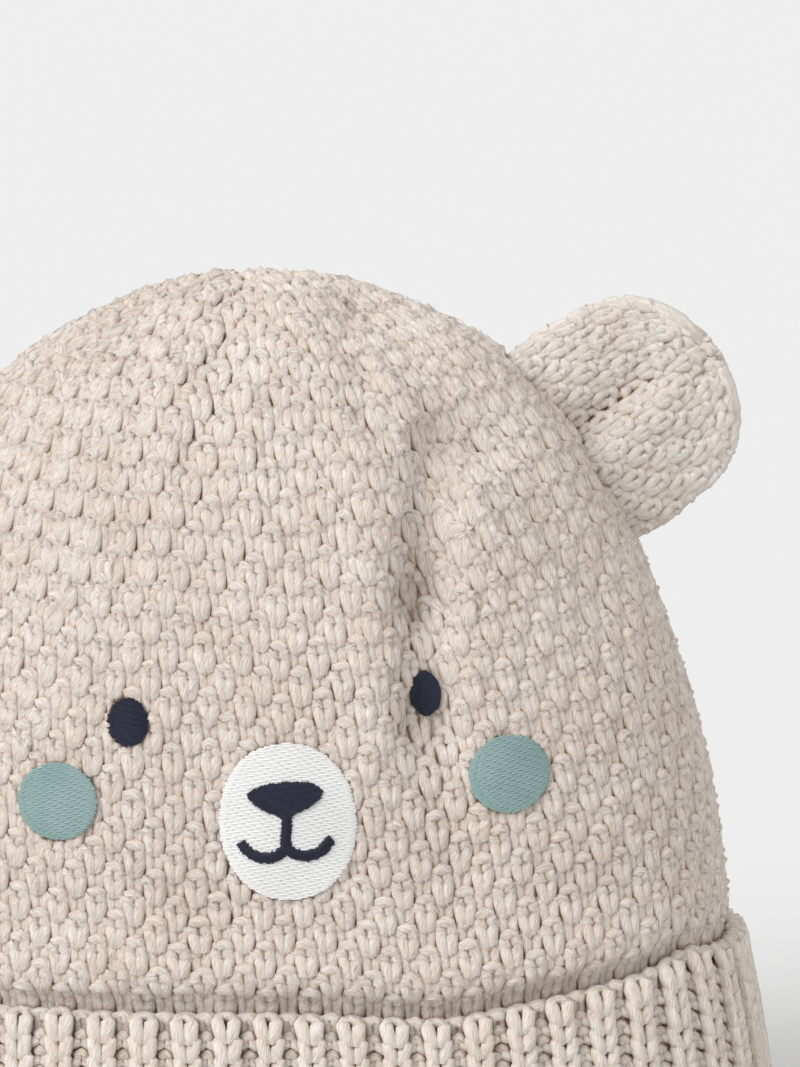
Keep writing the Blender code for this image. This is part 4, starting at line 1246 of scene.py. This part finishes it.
def build_face():
    """Muzzle, eyes, cheeks and nose in rows of stitches, and the nose line and the mouth in satin stitch."""
    muzzle_height = domed(oval_outline(MUZZLE), PATCH_BASE, PATCH_RISE)
    sew_patch("muzzle", MUZZLE, -2, 0.31, WHITE_THREAD, "white_thread")
    sew_patch("eye_left", EYE_LEFT, 20, 0.33, NAVY_THREAD, "navy_thread")
    sew_patch("eye_right", EYE_RIGHT, -25, 0.33, NAVY_THREAD, "navy_thread")
    sew_patch("cheek_left", CHEEK_LEFT, 14, 0.33, GREEN_THREAD, "green_thread")
    sew_patch("cheek_right", CHEEK_RIGHT, 14, 0.33, GREEN_THREAD, "green_thread")

    def on_muzzle(extra):
        return lambda place: muzzle_height(place) + extra

    parts = Mesh()
    nose = np.array(NOSE)
    add_pad(parts, nose, on_muzzle(0.45 * MM), 0.6 * MM)
    rows = fill_rows(nose, math.radians(35), 0.33, NOSE_FILL_LENGTH)
    sew(parts, *rows, on_muzzle(0.55 * MM), NOSE_ARCH)
    parts.finish("nose_stitches", NAVY_THREAD, "navy_thread", ("nose",))
    sew_strokes("nose_line", (NOSE_LINE,), 0.34, on_muzzle(0.40 * MM))
    sew_strokes("mouth", (MOUTH_LEFT, MOUTH_RIGHT), 0.28, on_muzzle(0.40 * MM))


build_face()
build_crown_yarn()
build_crown_backing()
build_cuff_yarn()
build_cuff_edge()
build_cuff_backing()
build_ear("left", -1)
build_ear("right", 1)
build_fibres()


# Stage, light and camera

def build_stage():
    """A plain pale floor."""
    mesh = bpy.data.meshes.new("floor")
    half = 30.0
    corners = [(-half, -half, 0.0), (half, -half, 0.0), (half, half, 0.0), (-half, half, 0.0)]
    mesh.from_pydata(corners, [], [(0, 1, 2, 3)])
    material = bpy.data.materials.new("pale_paper_floor")
    material.use_nodes = True
    shader = material.node_tree.nodes["Principled BSDF"]
    shader.inputs["Base Color"].default_value = linear("#D5D5D5")
    shader.inputs["Roughness"].default_value = 0.95
    shader.inputs["Specular IOR Level"].default_value = 0.0
    mesh.materials.append(material)
    floor = bpy.data.objects.new("floor", mesh)
    bpy.context.scene.collection.objects.link(floor)


def add_sun(name, towards, power, spread):
    """A very soft sun, as even as a large softbox, which shines from the direction given."""
    light = bpy.data.lights.new(name, "SUN")
    light.energy = power
    light.angle = spread
    lamp = bpy.data.objects.new(name, light)
    bpy.context.scene.collection.objects.link(lamp)
    lamp.rotation_euler = Vector(towards).to_track_quat("Z", "Y").to_euler()


build_stage()
add_sun("key", (-0.62, -0.52, 0.60), 1.9, math.radians(40))
world = bpy.data.worlds.new("studio")
bpy.context.scene.world = world
world.use_nodes = True
world.node_tree.nodes["Background"].inputs["Color"].default_value = (1, 1, 1, 1)
world.node_tree.nodes["Background"].inputs["Strength"].default_value = 0.93
bpy.context.scene.view_settings.view_transform = "Standard"

# The camera looks from far off, where the photograph's pixels are all of one size. Its picture is 800 x 1067
# pixels, with the muzzle's middle at 288 across and 825 down.
ELEVATION = math.radians(10)
ROLL = math.radians(3.3)
DISTANCE = 3.0
PIXEL = 0.1985 * MM
PICTURE_WIDTH = 800
PICTURE_HEIGHT = 1067
MUZZLE_ACROSS = 288
MUZZLE_DOWN = 825
SENSOR_WIDTH = 36.0
MUZZLE_FORWARD = 0.0535
muzzle = HAT_MIDDLE + [0, -MUZZLE_FORWARD, FACE_HEIGHT]
ahead = np.array([0, math.cos(ELEVATION), -math.sin(ELEVATION)])
level_right = np.array([1.0, 0, 0])
level_up = np.cross(level_right, ahead)
right = math.cos(ROLL) * level_right - math.sin(ROLL) * level_up
up = math.sin(ROLL) * level_right + math.cos(ROLL) * level_up
aside_by = (PICTURE_WIDTH / 2 - MUZZLE_ACROSS) * PIXEL
up_by = (MUZZLE_DOWN - PICTURE_HEIGHT / 2) * PIXEL
middle = muzzle + aside_by * right + up_by * up
place = middle - DISTANCE * ahead
camera = bpy.data.cameras.new("camera")
camera.sensor_fit = "HORIZONTAL"
camera.sensor_width = SENSOR_WIDTH
camera.lens = SENSOR_WIDTH * DISTANCE / (PICTURE_WIDTH * PIXEL)
camera_object = bpy.data.objects.new("camera", camera)
bpy.context.scene.collection.objects.link(camera_object)
axes = np.column_stack([right, up, -ahead])
matrix = Matrix(axes.tolist()).to_4x4()
matrix.translation = place.tolist()
camera_object.matrix_world = matrix
bpy.context.scene.camera = camera_object
